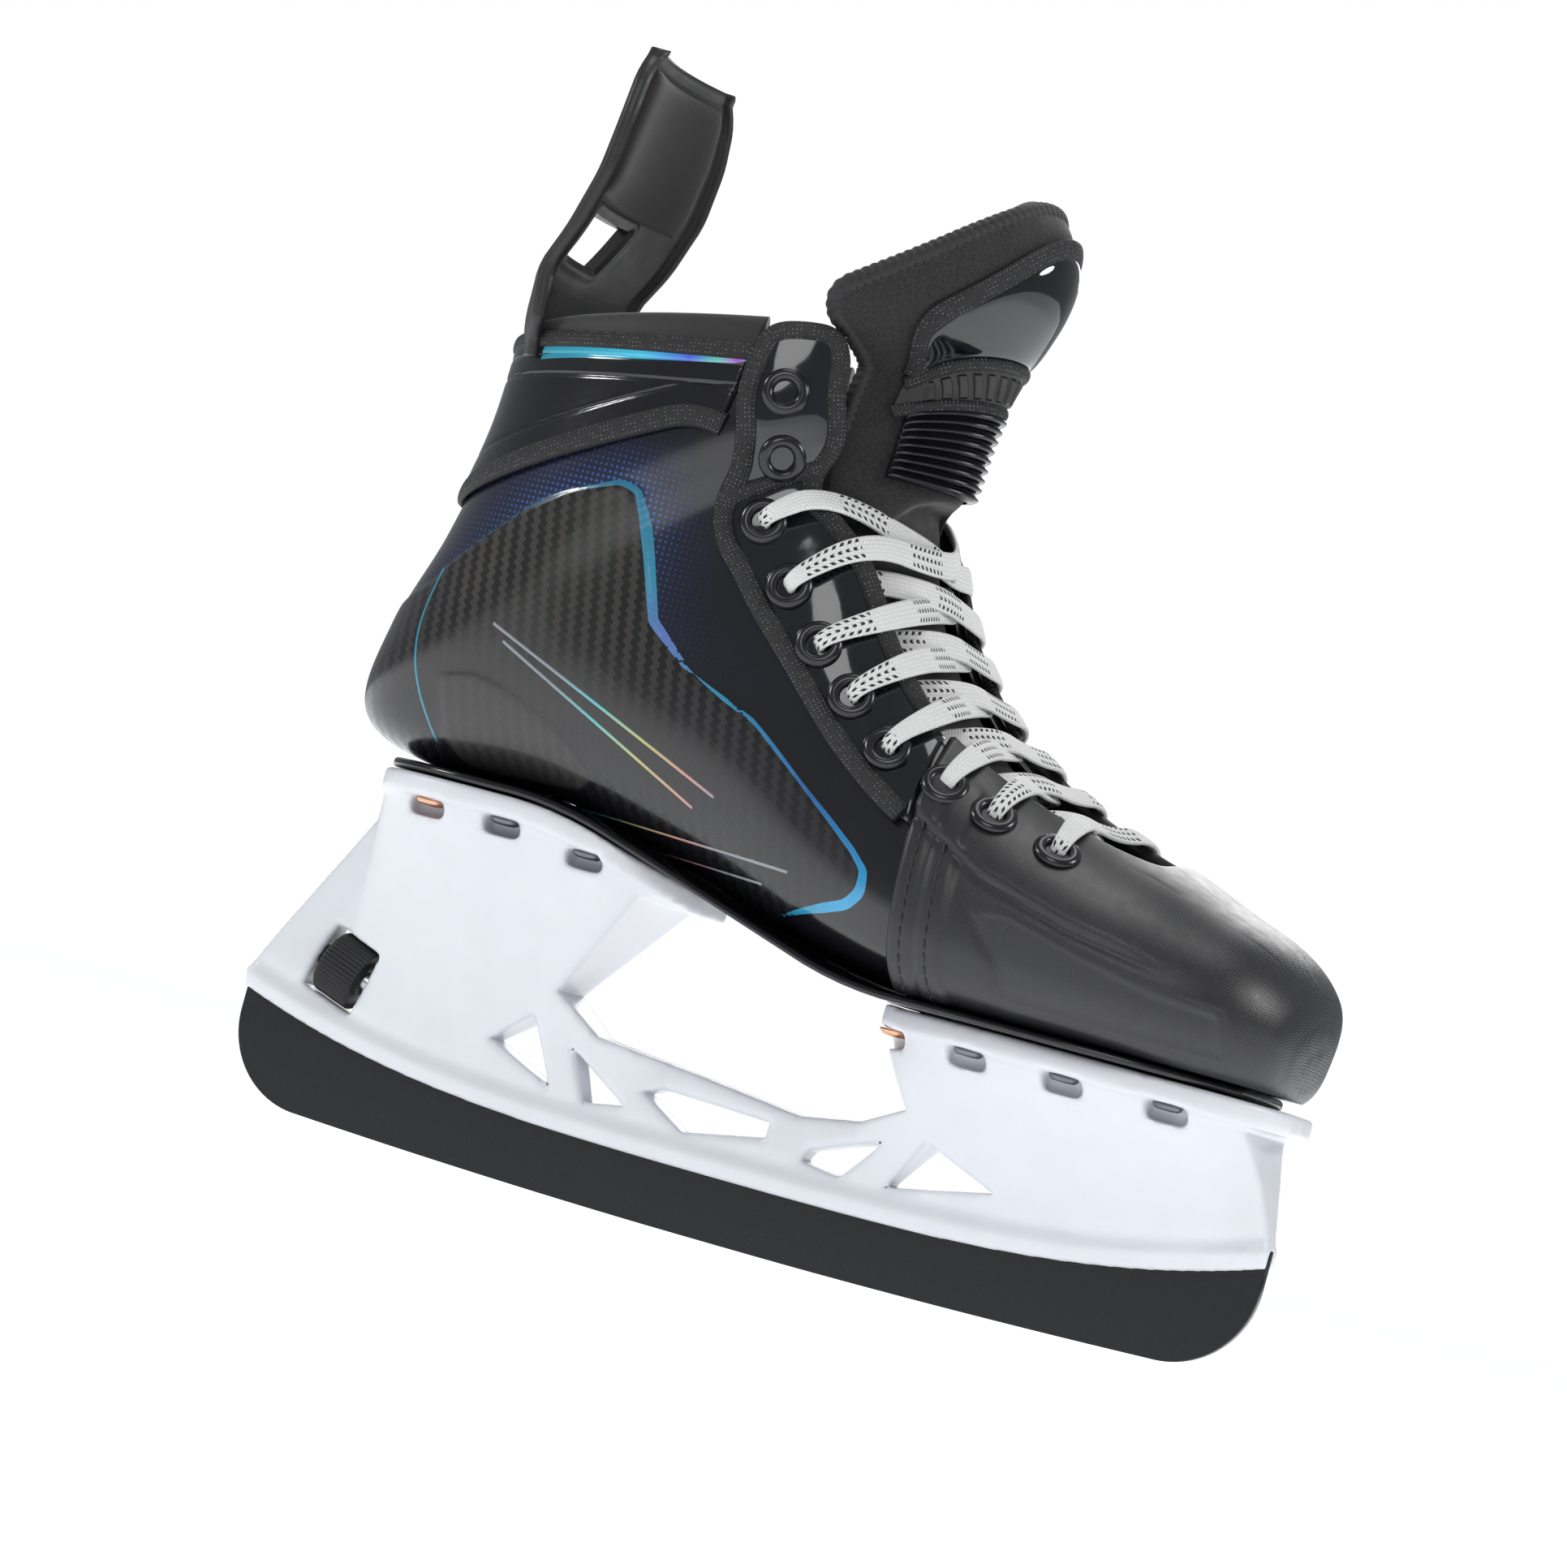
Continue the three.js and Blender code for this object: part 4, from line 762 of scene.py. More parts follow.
# %% [markdown]
# ## Cuff, collar, liner and footbed
# The glossy cuff wraps the ankle, the padded collar rolls over the rim, and the liner and footbed are what the
# foot meets. The pads are crowned sheets: their walls are thinnest at the seams.

# %% Cuff
def cuff_low(v):
    return 14.47 - 0.9 * np.maximum(0, (np.abs(v) - 0.5) / 0.15) ** 2


def cuff_high(v):
    return 15.84 - 0.46 * (np.abs(v) / 0.59) ** 2


j = np.linspace(-0.595, 0.65, 190)[None, :]
i = np.linspace(0, 1, 60)[:, None]
v = np.broadcast_to(j, (60, 190))
u = cuff_low(v) + (cuff_high(v) - cuff_low(v)) * i
mm_down = np.linalg.norm(spot(cuff_high(v), v) - spot(u, v), axis=-1)
grooves = sum(0.35 * np.exp(-((mm_down - at) / 0.5) ** 2) for at in (3.4, 9.0))
low_groove = 0.3 * np.exp(-((np.linalg.norm(spot(cuff_low(v), v) - spot(u, v), axis=-1) - 8) / 0.5) ** 2)
cuff = sheet("ankle_cuff", on_last(u, v, 2.0 - grooves - low_groove), on_last(u, v, 0.5))


def cuff_finish():
    made = Finish("cuff_gloss", (0.006, 0.006, 0.008), 0.16, Coat_Weight=0.3, Coat_Roughness=0.06)
    line = made.math("LESS_THAN", made.attribute("edge_line"), 0)
    colors = made.rainbow(made.fade(made.axis("X"), -0.115, -0.04), [
        (0, (0.01, 0.16, 0.22)), (0.35, (0.02, 0.30, 0.42)), (0.6, (0.05, 0.45, 0.65)), (0.78, (0.06, 0.12, 0.6)),
        (0.88, (0.12, 0.5, 0.4)), (0.95, (0.4, 0.1, 0.6)), (1, (0.1, 0.3, 0.6))])
    made.set("Base Color", made.mix(line, (0.006, 0.006, 0.008), colors))
    made.bump(made.noise(9, 2), 0.15)
    return made.material


width = np.interp(spot(u, v)[..., 0], [-112, -100, -45, -38], [4.2, 3.6, 1.8, 0.4])
edge_line = np.abs(mm_down - 1.2 - width / 2) - width / 2
corner = np.abs(np.abs(v) - 0.2) * 140 - 0.7
edge_line = np.where(np.abs(v) < 0.2, 3.0, np.minimum(edge_line, np.where(mm_down < 30, corner, 3.0)))
give_near(cuff, "edge_line", edge_line.ravel(), on_last(u, v, 2.0).reshape(-1, 3))
place(cuff, "boot", ["ankle_cuff"], cuff_finish())

# %% Collar, liner and footbed
COLLAR_SECTION = np.array([(3.9, -9), (4.3, -5), (4.0, -1), (3.0, 2.0), (1.2, 3.6), (-1.2, 3.9), (-3.4, 2.6),
                           (-4.8, 0), (-5.6, -4), (-5.4, -9), (-4.4, -12), (0, -12.5)])


def eased_ring(section, rounds=2):
    for _ in range(rounds):
        after = np.roll(section, -1, axis=0)
        section = np.stack([section * 0.75 + after * 0.25, section * 0.25 + after * 0.75], 1).reshape(-1, 2)
    return section


v = np.linspace(-0.605, 0.605, 160)
rim = on_last(15.97, v, -2.6)
rim_up = unit(spot(np.full_like(v, 15.98), v) - spot(np.full_like(v, 15.6), v))
crown = 1 + 0.08 * np.cos(v / 0.605 * math.pi / 2)
section = eased_ring(COLLAR_SECTION)[None] * crown[:, None, None]
collar = sweep("collar_pad", rim, outward(np.full_like(v, 15.9), v), rim_up, section)
place(collar, "boot", ["collar_pad"], COLLAR_CLOTH)

LINER_FACE = -SHELL_WALL - 2.2
u = np.linspace(2.2, 15.5, 120)[:, None]
j = np.linspace(-1, 1, 100)[None, :]
reach = np.where(u < 4, 0.8, rear_edge(u) + 0.03)
v = reach * j
puff = 0.5 * np.cos(np.pi * np.clip(j, -1, 1) / 2) + 0 * u
liner = sheet("inner_liner", on_last(u, v, LINER_FACE), on_last(u, v, LINER_FACE - 3.0 - puff))
place(liner, "boot", ["inner_liner"], LINING)

u = np.linspace(3.2, 10.6, 90)[:, None]
v = 0.2 * np.linspace(-1, 1, 30)[None, :] + 0 * u
edge_drop = 1.2 * np.abs(np.linspace(-1, 1, 30))[None, :] ** 6 + 0 * u
bed_face = LINER_FACE - 3.5 - 2.2
bed = sheet("footbed", on_last(u, v, bed_face), on_last(u, v, bed_face - 4 + edge_drop))
place(bed, "boot", ["footbed"], BED_CLOTH)

# %% [markdown]
# ## Facings
# Two patent panels carry the eyelets. Each is crowned across its width and tucks under woven binding at every
# edge. The upper part is a separate panel on the real boot, so it stands a little prouder.

# %% Facings
def facing_rear(u, side):
    return rear_edge(u) + (INNER_SHIFT if side > 0 else 0)


for name, side in (("facing_outer", OUTER), ("facing_inner", INNER)):
    u = np.linspace(CAP_REAR + 0.04, RIM - 0.08, 150)[:, None]
    j = np.linspace(0, 1, 30)[None, :]
    v = side * (facing_rear(u, side) + (front_edge(u, side) - facing_rear(u, side)) * j)
    crowned = 1 - np.abs(2 * j - 1) ** 5
    proud = 0.5 * ease(u, 12.05, 12.2)
    facing = sheet(name, on_last(u, v, LAYER_GAP + 0.5 + (FACING_WALL - 0.6) * crowned + proud),
                   on_last(u, v, 0.4 + 0 * u))
    place(facing, "boot", [name], PATENT)

# %% [markdown]
# ## Woven binding and printed lines
# Binding is folded webbing sewn over a raw edge. One function lays a low half-round bar along any path on the
# last and writes a UV map whose two axes are millimetres across and along the path, so the weave follows it.

# %% Bars along a path on the last
def uv_path(points, gap=1.0, rounds=3, per_u=13.0, per_v=130.0):
    """A smooth path through [u, v] points, with nearly even steps in mm."""
    scaled = smooth_path(np.asarray(points, float) * (per_u, per_v), gap, rounds)
    return scaled / (per_u, per_v)


def along_last(name, path, width, height, lift, depth=0.6, body_points=9):
    """A half-round bar of that width and height, whose foot stands lift above the last."""
    u, v = path[:, 0], path[:, 1]
    centre, up = on_last(u, v, lift), outward(u, v)
    tangent = unit(np.gradient(centre, axis=0))
    side = unit(np.cross(up, tangent))
    arc = np.linspace(0, math.pi, body_points)
    section = [(width / 2 * math.cos(a), height * math.sin(a) ** 0.7 if a not in (0, math.pi) else 0) for a in arc]
    section += [(-width / 2, -depth), (width / 2, -depth)]
    bar = sweep(name, centre, side, up, section)
    run = np.concatenate([[0], np.cumsum(np.linalg.norm(np.diff(centre, axis=0), axis=1))])
    finder = kdtree.KDTree(len(centre))
    for number, point in enumerate(centre):
        finder.insert(point * MM, number)
    finder.balance()
    values = []
    for vertex in bar.data.vertices:
        at = finder.find(vertex.co)[1]
        across = (np.array(vertex.co) / MM - centre[at]) @ side[at]
        values.append((across * MM, run[at] * MM))
    give_uv(bar, "path", values)
    return bar


def mirrored(path, side):
    return path * (1, side)


def facing_outline(side):
    """Up the rear edge, round the top corner and down the front edge."""
    low = 7.0
    rear = [(u, facing_rear(u, side) + 0.004) for u in np.linspace(low, 15.4, 24)]
    front = [(u, float(front_edge(u, side)) - 0.006) for u in np.linspace(15.2, low, 24)]
    top = [(15.85, facing_rear(15.6, side) + 0.015),
           (15.92, (facing_rear(15.6, side) + float(front_edge(15.6, side))) / 2),
           (15.85, float(front_edge(15.6, side)) - 0.02)]
    return mirrored(uv_path(rear + top + front), side)


BINDING_LIFT = LAYER_GAP + 0.9
bars = []
for word, side in (("outer", OUTER), ("inner", INNER)):
    bars.append(along_last(f"binding_{word}", facing_outline(side), 5.8, 1.9, BINDING_LIFT))
    across = uv_path([(12.15, facing_rear(12.2, side)), (12.1, facing_rear(12.2, side) + 0.05),
                      (12.0, float(front_edge(12, side)))])
    bars.append(along_last(f"band_{word}", mirrored(across, side), 5.0, 1.7, BINDING_LIFT + 0.4))
v = np.linspace(-0.6, 0.655, 270)
bars.append(along_last("cuff_binding", np.stack([cuff_low(v) - 0.05, v], 1), 6.4, 1.5, 1.0))
bars.append(along_last("collar_binding", np.stack([cuff_high(v) + 0.04, v], 1), 5.0, 1.5, 1.3))
binding = join(bars[0], bars[1:])
binding.name = "woven_binding"
place(binding, "boot", [], BINDING)


# %% Thin printed lines on both sides of the shell
def printed_lines():
    made = Finish("iridescent_line", (0.2, 0.3, 0.35), 0.25, Coat_Weight=0.3)
    made.set("Base Color", made.rainbow(made.math("FRACT", made.math("MULTIPLY", made.axis("X"), 10.5)), [
        (0, (0.22, 0.24, 0.27)), (0.25, (0.22, 0.24, 0.27)), (0.4, (0.10, 0.42, 0.45)), (0.55, (0.40, 0.42, 0.16)),
        (0.7, (0.5, 0.25, 0.22)), (0.85, (0.22, 0.24, 0.27)), (1, (0.22, 0.24, 0.27))]))
    return made.material


def heel_lines():
    made = Finish("teal_line", (0.02, 0.22, 0.32), 0.25, Coat_Weight=0.3)
    made.bump(made.noise(5), 0.02)
    return made.material


PRINT_LIFT = 0.22
for name, lines, width, finish in (("printed_sweeps", SWEEPS, 0.9, printed_lines()),
                                   ("heel_trim", [HEEL_LINE], 0.8, heel_lines())):
    made = []
    for number, line in enumerate(lines):
        found = uv_of(line)
        for side in (OUTER, INNER):
            made.append(along_last(f"{name}_{number}_{side}", mirrored(found, side), width, 0.12, PRINT_LIFT, 0.3, 5))
    place(join(made[0], made[1:]), "boot", [], finish)
    made[0].name = name

# %% [markdown]
# ## Eyelets, rivets and stitches
# Everything that repeats is one small shape set down on many points by Geometry Nodes. The points carry their
# own turn, the tree has a named input for size, and the result is baked to a plain mesh.

# %% The tree that sets a shape down on points
def turned(x_axis, z_axis):
    """Euler turn whose z points along z_axis and whose x leans towards x_axis."""
    z = Vector(z_axis).normalized()
    x = Vector(x_axis)
    x = (x - z * x.dot(z)).normalized()
    return Matrix((x, z.cross(x), z)).transposed().to_euler()


def scatter_tree(name, shape, material):
    tree = bpy.data.node_groups.new(name, "GeometryNodeTree")
    tree.interface.new_socket("Points", in_out="INPUT", socket_type="NodeSocketGeometry")
    size = tree.interface.new_socket("Size", in_out="INPUT", socket_type="NodeSocketFloat")
    size.default_value = 1.0
    tree.interface.new_socket("Result", in_out="OUTPUT", socket_type="NodeSocketGeometry")
    nodes, links = tree.nodes, tree.links
    source, result = nodes.new("NodeGroupInput"), nodes.new("NodeGroupOutput")
    instance, realize = nodes.new("GeometryNodeInstanceOnPoints"), nodes.new("GeometryNodeRealizeInstances")
    paint, info = nodes.new("GeometryNodeSetMaterial"), nodes.new("GeometryNodeObjectInfo")
    turn, euler = nodes.new("GeometryNodeInputNamedAttribute"), nodes.new("FunctionNodeEulerToRotation")
    info.inputs["Object"].default_value = shape
    turn.data_type = "FLOAT_VECTOR"
    turn.inputs["Name"].default_value = "turn"
    paint.inputs["Material"].default_value = material
    links.new(source.outputs["Points"], instance.inputs["Points"])
    links.new(info.outputs["Geometry"], instance.inputs["Instance"])
    links.new(turn.outputs["Attribute"], euler.inputs["Euler"])
    links.new(euler.outputs["Rotation"], instance.inputs["Rotation"])
    links.new(source.outputs["Size"], instance.inputs["Scale"])
    links.new(instance.outputs["Instances"], realize.inputs["Geometry"])
    links.new(realize.outputs["Geometry"], paint.inputs["Geometry"])
    links.new(paint.outputs["Geometry"], result.inputs["Result"])
    return tree, size.identifier


def scatter(name, shape, points, turns, material, size=1.0):
    """One plain mesh with shape on every point; points in mm."""
    host = piece(name + "_points", points, [])
    turn = host.data.attributes.new("turn", "FLOAT_VECTOR", "POINT")
    turn.data.foreach_set("vector", np.array(turns, np.float32).ravel())
    modifier = host.modifiers.new("scatter", "NODES")
    tree, size_socket = scatter_tree(name + "_tree", shape, material)
    modifier.node_group = tree
    modifier[size_socket] = size
    mesh = bpy.data.meshes.new_from_object(host.evaluated_get(bpy.context.evaluated_depsgraph_get()))
    host.modifiers.remove(modifier)
    bpy.data.objects.remove(host)
    mesh.name = name
    made = bpy.data.objects.new(name, mesh)
    scene.collection.objects.link(made)
    for polygon in mesh.polygons:
        polygon.use_smooth = True
    bpy.data.objects.remove(shape)
    return made


def lathe(name, profile, sides=28):
    """A closed shape turned round z; profile holds [radius, height] in mm."""
    profile = np.asarray(profile, float)
    turn = np.linspace(0, 2 * math.pi, sides, endpoint=False)
    rings = np.stack([profile[:, None, 0] * np.cos(turn), profile[:, None, 0] * np.sin(turn),
                      np.broadcast_to(profile[:, None, 1], (len(profile), sides))], -1)
    faces = [tuple(f) for f in grid_faces(len(profile), sides, 0, ring=True)]
    last = (len(profile) - 1) * sides
    if np.allclose(profile[0], profile[-1]):
        faces = faces[:-sides] + [(last - sides + k, last - sides + (k + 1) % sides, (k + 1) % sides, k)
                                  for k in range(sides)]
        rings = rings[:-1]
    else:
        faces += [tuple(range(sides)), tuple(last + k for k in reversed(range(sides)))]
    return face_outwards(piece(name, rings.reshape(-1, 3), faces))


# %% Eyelets
EYELET_PLACES = [(14.44, 0.673), (12.79, 0.714), (10.93, 0.678), (9.55, 0.621), (8.78, 0.601), (8.14, 0.61),
                 (7.45, 0.615), (6.62, 0.645), (6.0, 0.655), (5.25, 0.66)]
EYELETS = {(side, n + 1): (u, side * (v + (INNER_SHIFT if side > 0 else 0)))
           for side in (OUTER, INNER) for n, (u, v) in enumerate(EYELET_PLACES)}
EYELET_RING = [(2.9, -2.6), (3.7, -2.6), (3.7, 2.4), (6.1, 2.4), (6.4, 2.75), (6.3, 3.3), (5.6, 3.95), (4.7, 4.25),
               (3.9, 4.05), (3.3, 3.4), (3.0, 2.4), (2.9, -2.6)]
places, turns = [], []
for (side, number), (u, v) in EYELETS.items():
    places.append(on_last(u, v, (0.5 if number < 3 else 0.2) + (1.4 if number > 7 else 0)))
    turns.append(turned((1, 0, 0), outward(u, v)))
eyelets = scatter("eyelets", lathe("eyelet_ring", EYELET_RING), places, turns, EYELET_BLACK)
place(eyelets, "boot", [f"eyelet_{word}_{n}" for word in ("outer", "inner") for n in range(1, 11)])

# %% Rivets under the flanges
REAR_FLANGE, FRONT_FLANGE = (-73, 50, 31, 3.4), (90, 58, 37, 3.0)
RIVETS = [(x, REAR_FLANGE) for x in (-102, -79, -54)] + [(x, FRONT_FLANGE) for x in (39, 64, 91, 119)]
FLANGE_THICKNESS, RIVET_EDGE = 6.0, 7.0


def flange_half(flange, x):
    centre, reach, half, power = flange
    return half * np.maximum(0, 1 - np.abs((np.asarray(x, float) - centre) / reach) ** power) ** (1 / 2.3)


RIVET_HEAD = [(0.01, -1.5), (1.6, -1.5), (1.9, -1.15), (2.4, -1.15), (2.9, -1.4), (3.7, -0.9), (4.0, -0.4),
              (4.0, 0.2), (0.01, 0.2)]
for name, chosen, material, slot_name in (("copper_rivets", (0, 3), COPPER, "copper_rivets"),
                                          ("steel_rivets", (1, 2, 4, 5, 6), DARK_STEEL, "steel_rivets")):
    places, nodes = [], []
    for number in chosen:
        x, flange = RIVETS[number]
        for side, word in ((OUTER, "outer"), (INNER, "inner")):
            y = side * (float(flange_half(flange, x)) - RIVET_EDGE)
            places.append((x, y, float(sole_height(x)) - FLANGE_THICKNESS - 0.25))
            row_word, index = ("rear", number + 1) if number < 3 else ("front", number - 2)
            nodes.append(f"rivet_{row_word}_{word}_{index}")
    rivets = scatter(name, lathe(name + "_head", RIVET_HEAD, 24), places, [(0, 0, 0)] * len(places), material)
    place(rivets, "boot", nodes)


# %% Stitches
def stitch_line(path, gap_mm, lift):
    """Points and turns for stitches along a [u, v] path."""
    track = on_last(path[:, 0], path[:, 1], lift)
    run = np.concatenate([[0], np.cumsum(np.linalg.norm(np.diff(track, axis=0), axis=1))])
    at = np.arange(gap_mm, run[-1] - gap_mm / 2, gap_mm)
    u, v = np.interp(at, run, path[:, 0]), np.interp(at, run, path[:, 1])
    points = on_last(u, v, lift)
    tangents = unit(np.gradient(points, axis=0))
    return list(points), [turned(t, n) for t, n in zip(tangents, outward(u, v))]


def stitch_shape():
    x = np.array([-1.45, -1.2, -0.6, 0.6, 1.2, 1.45])
    radius = np.array([0.08, 0.32, 0.42, 0.42, 0.32, 0.08])
    turn = np.linspace(0, 2 * math.pi, 8, endpoint=False)
    rings = np.stack([np.broadcast_to(x[:, None], (6, 8)), radius[:, None] * np.cos(turn),
                      radius[:, None] * np.sin(turn)], -1)
    faces = [tuple(f) for f in grid_faces(6, 8, 0, ring=True)] + [tuple(range(8)), tuple(range(47, 39, -1))]
    return face_outwards(piece("stitch", rings.reshape(-1, 3), faces))


places, turns = [], []
for side in (OUTER, INNER):
    for back in (4.4, 12.4):
        v = np.linspace(0.12, 0.655, 120)
        length = np.linalg.norm(spot(CAP_REAR, v) - spot(CAP_REAR - 0.5, v), axis=-1) / 0.5
        found = stitch_line(np.stack([CAP_REAR - back / length, side * v], 1), 3.6, LAYER_GAP + CAP_WALL + 0.75)
        places += found[0]
        turns += found[1]
stitches = scatter("cap_stitches", stitch_shape(), places, turns, THREAD)
place(stitches, "boot", [])

# %% [markdown]
# ## Blade holder
# The holder is one white moulding: two hollow-looking towers, a truss between them and a rail that takes the
# steel. It is worked out as a distance field: every face is a distance, joining is the smaller of two, cutting
# is the larger, and blending the two gives the soft fillets of a moulding. The surface is where the field is 0.

# %% From a field to a mesh
def field_mesh(name, field, low, step):
    """A closed mesh where the field, sampled on a grid, changes sign: one vertex for each cell on the border."""
    inside = field < 0
    cells = np.array(field.shape) - 1
    total = np.zeros((*cells, 3))
    count = np.zeros(cells)
    corners = [(a, b, c) for a in (0, 1) for b in (0, 1) for c in (0, 1)]
    view = {c: field[c[0]:c[0] + cells[0], c[1]:c[1] + cells[1], c[2]:c[2] + cells[2]] for c in corners}
    for a in corners:
        for axis in range(3):
            if a[axis]:
                continue
            b = tuple(1 if k == axis else a[k] for k in range(3))
            fa, fb = view[a], view[b]
            cross = (fa < 0) != (fb < 0)
            with np.errstate(divide="ignore", invalid="ignore"):
                t = np.where(cross, fa / (fa - fb), 0)
            for k in range(3):
                total[..., k] += np.where(cross, t if k == axis else a[k], 0)
            count += cross
    used = count > 0
    number = np.full(cells, -1)
    number[used] = np.arange(used.sum())
    points = (np.argwhere(used) + total[used] / count[used][:, None]) * step + low
    faces = []
    for axis in range(3):
        first, second = [k for k in range(3) if k != axis]
        ahead = [slice(1, -1)] * 3
        ahead[axis] = slice(0, -1)
        shifted = list(ahead)
        shifted[axis] = slice(1, None)
        here, there = inside[tuple(ahead)], inside[tuple(shifted)]
        for change, flip in ((here & ~there, False), (~here & there, True)):
            at = np.argwhere(change)
            at[:, first] += 1
            at[:, second] += 1
            quad = []
            for da, db in ((0, 0), (-1, 0), (-1, -1), (0, -1)):
                cell = at.copy()
                cell[:, first] += da
                cell[:, second] += db
                quad.append(number[tuple(cell.T)])
            quad = np.stack(quad, -1)
            faces.append(quad[:, ::-1] if flip != (axis == 1) else quad)
    return piece(name, points, np.concatenate(faces))


def blend_max(a, b, radius):
    mix = np.clip(0.5 + 0.5 * (a - b) / radius, 0, 1)
    return b + (a - b) * mix + radius * mix * (1 - mix)


def blend_min(a, b, radius):
    return -blend_max(-a, -b, radius)


# %% Shapes of the holder, in mm
RAIL_HEIGHT, RAIL_RISE, RAIL_HALF = 17.0, 16.0, 5.0
HALF_LENGTH, ROCKER_RADIUS, RUNNER_END = 148.2, 2750.0, 24.0
SLOT_DEPTH, STEEL_HALF, CLEARANCE = 5.0, 1.5, 0.3


def rail_line(x):
    return RAIL_HEIGHT + RAIL_RISE * np.abs(np.asarray(x, float) / HALF_LENGTH) ** 3.2


def edge_line(x):
    return ROCKER_RADIUS - np.sqrt(ROCKER_RADIUS ** 2 - np.asarray(x, float) ** 2)


HOLDER_OUTLINE = [(x, float(rail_line(x))) for x in np.linspace(-HALF_LENGTH, HALF_LENGTH, 41)] + [
    (148.2, 38), (143.2, 54), (138.2, 66), (138.2, 70), (36, 70), (36, 66), (46, 48), (33, 42), (16, 39), (-12, 42),
    (-44, 45), (-57, 54), (-38, 83), (-27, 87), (-31, 93), (-60, 97), (-120, 97), (-122, 88), (-141.2, 52),
    (-148.2, 38)]
HOLDER_WINDOWS = [
    [(-74, 37), (-63, 46), (-55, 29)], [(-50, 40), (-33, 29), (-44, 27)],
    [(-28, 34), (-23, 36), (8, 35), (8, 31), (-15, 26.5)], [(19, 27.5), (21, 31), (41, 38.5), (31, 26.5)],
    [(53, 41), (73, 33), (44, 27)]]
REAR_POST, FRONT_POST = (-105, -92, 44), (112, 127, 48)
LOCK_TILT = math.radians(18)
LOCK_AT = np.array([-121.0, 0, 44.0])
LOCK_AXIS = np.array([math.cos(LOCK_TILT), 0, -math.sin(LOCK_TILT)])
WHEEL_DIAMETER, WHEEL_WIDTH, STUD_DIAMETER = 18.0, 11.5, 5.0


def tower_half(x, z):
    wide = np.where(x < 0, flange_half(REAR_FLANGE, x), flange_half(FRONT_FLANGE, x))
    rise = np.clip((z - RAIL_HEIGHT - 9) / (sole_height(x) - FLANGE_THICKNESS - RAIL_HEIGHT - 9), 0, 1)
    return RAIL_HALF + (np.maximum(wide - 3, RAIL_HALF) - RAIL_HALF) * rise ** 1.6


def holder_field(step=1.0):
    low, counts = np.array([-152.0, -40.0, 13.0]), (305, 81, 92)
    x, y, z = np.ogrid[:counts[0], :counts[1], :counts[2]]
    x, y, z = low[0] + step * x, low[1] + step * y, low[2] + step * z
    flat_x, flat_z = np.meshgrid(x.ravel(), z.ravel(), indexing="ij")
    side_view = np.stack([flat_x.ravel(), flat_z.ravel()], 1)
    outline = -signed_inside(side_view, HOLDER_OUTLINE).reshape(flat_x.shape)
    windows = np.max([signed_inside(side_view, w) for w in HOLDER_WINDOWS], axis=0).reshape(flat_x.shape)
    half = tower_half(flat_x, flat_z)
    # a raised bead along the rail and round the windows of the truss
    above_rail = flat_z - rail_line(flat_x)
    slope = np.abs(np.gradient(half, step, axis=1))
    bead = 0.9 * np.exp(-((above_rail - 4.2) / 1.7) ** 2)
    groove = 0.5 * np.exp(-((above_rail - 8.4) / 1.6) ** 2) * (slope < 0.6)
    half = half + bead - groove
    profile = blend_max(outline, windows, 2.0)[:, None, :]
    wall = ((np.abs(y) - half[:, None, :]) / np.sqrt(1 + slope ** 2)[:, None, :])
    solid = blend_max(profile, wall, 1.6)
    top = sole_height(x)
    for flange in (REAR_FLANGE, FRONT_FLANGE):
        reach = flange_half(flange, x)
        inside = np.abs(x - flange[0]) - flange[1] + 0.6
        plate = blend_max(np.maximum((np.abs(y) - reach) * 0.8, inside),
                          np.abs(z - (top - FLANGE_THICKNESS / 2)) - FLANGE_THICKNESS / 2, 0.9)
        solid = blend_min(solid, plate, 2.2)
    solid = np.maximum(solid, z - top)
    for rivet_x, flange in RIVETS:
        for side in (OUTER, INNER):
            rivet_y = side * (float(flange_half(flange, rivet_x)) - RIVET_EDGE)
            under = float(sole_height(rivet_x)) - FLANGE_THICKNESS
            # the pocket opens outwards, so the rivet is seen from the side
            away = np.maximum(np.abs(x - rivet_x) - 5.5, -side * (y - rivet_y) - 5.5)
            pocket = blend_max(blend_max(away, z - under, 1.2), under - 4.6 - z, 2.4)
            solid = blend_max(solid, -pocket, 1.2)
    along = (x - LOCK_AT[0]) * LOCK_AXIS[0] + (z - LOCK_AT[2]) * LOCK_AXIS[2]
    across = -(x - LOCK_AT[0]) * LOCK_AXIS[2] + (z - LOCK_AT[2]) * LOCK_AXIS[0]
    room = np.maximum(np.abs(along) - WHEEL_WIDTH / 2 - 2.5, np.abs(across) - WHEEL_DIAMETER / 2 - 0.4) + 0 * y
    solid = blend_max(solid, -room, 1.0)
    bore = np.maximum(np.sqrt(across ** 2 + y ** 2) - STUD_DIAMETER / 2 - CLEARANCE, along - 18)
    solid = np.maximum(solid, -bore)
    seat = rail_line(x) + SLOT_DEPTH
    cut = z - seat
    for start, end, height in (REAR_POST, FRONT_POST):
        post = np.maximum(np.maximum(start - CLEARANCE - x, x - end - CLEARANCE), z - height - CLEARANCE)
        cut = np.minimum(cut, post)
    slot_cut = np.maximum(np.abs(y) - STEEL_HALF - CLEARANCE, cut)
    return np.maximum(solid, -slot_cut), low, step


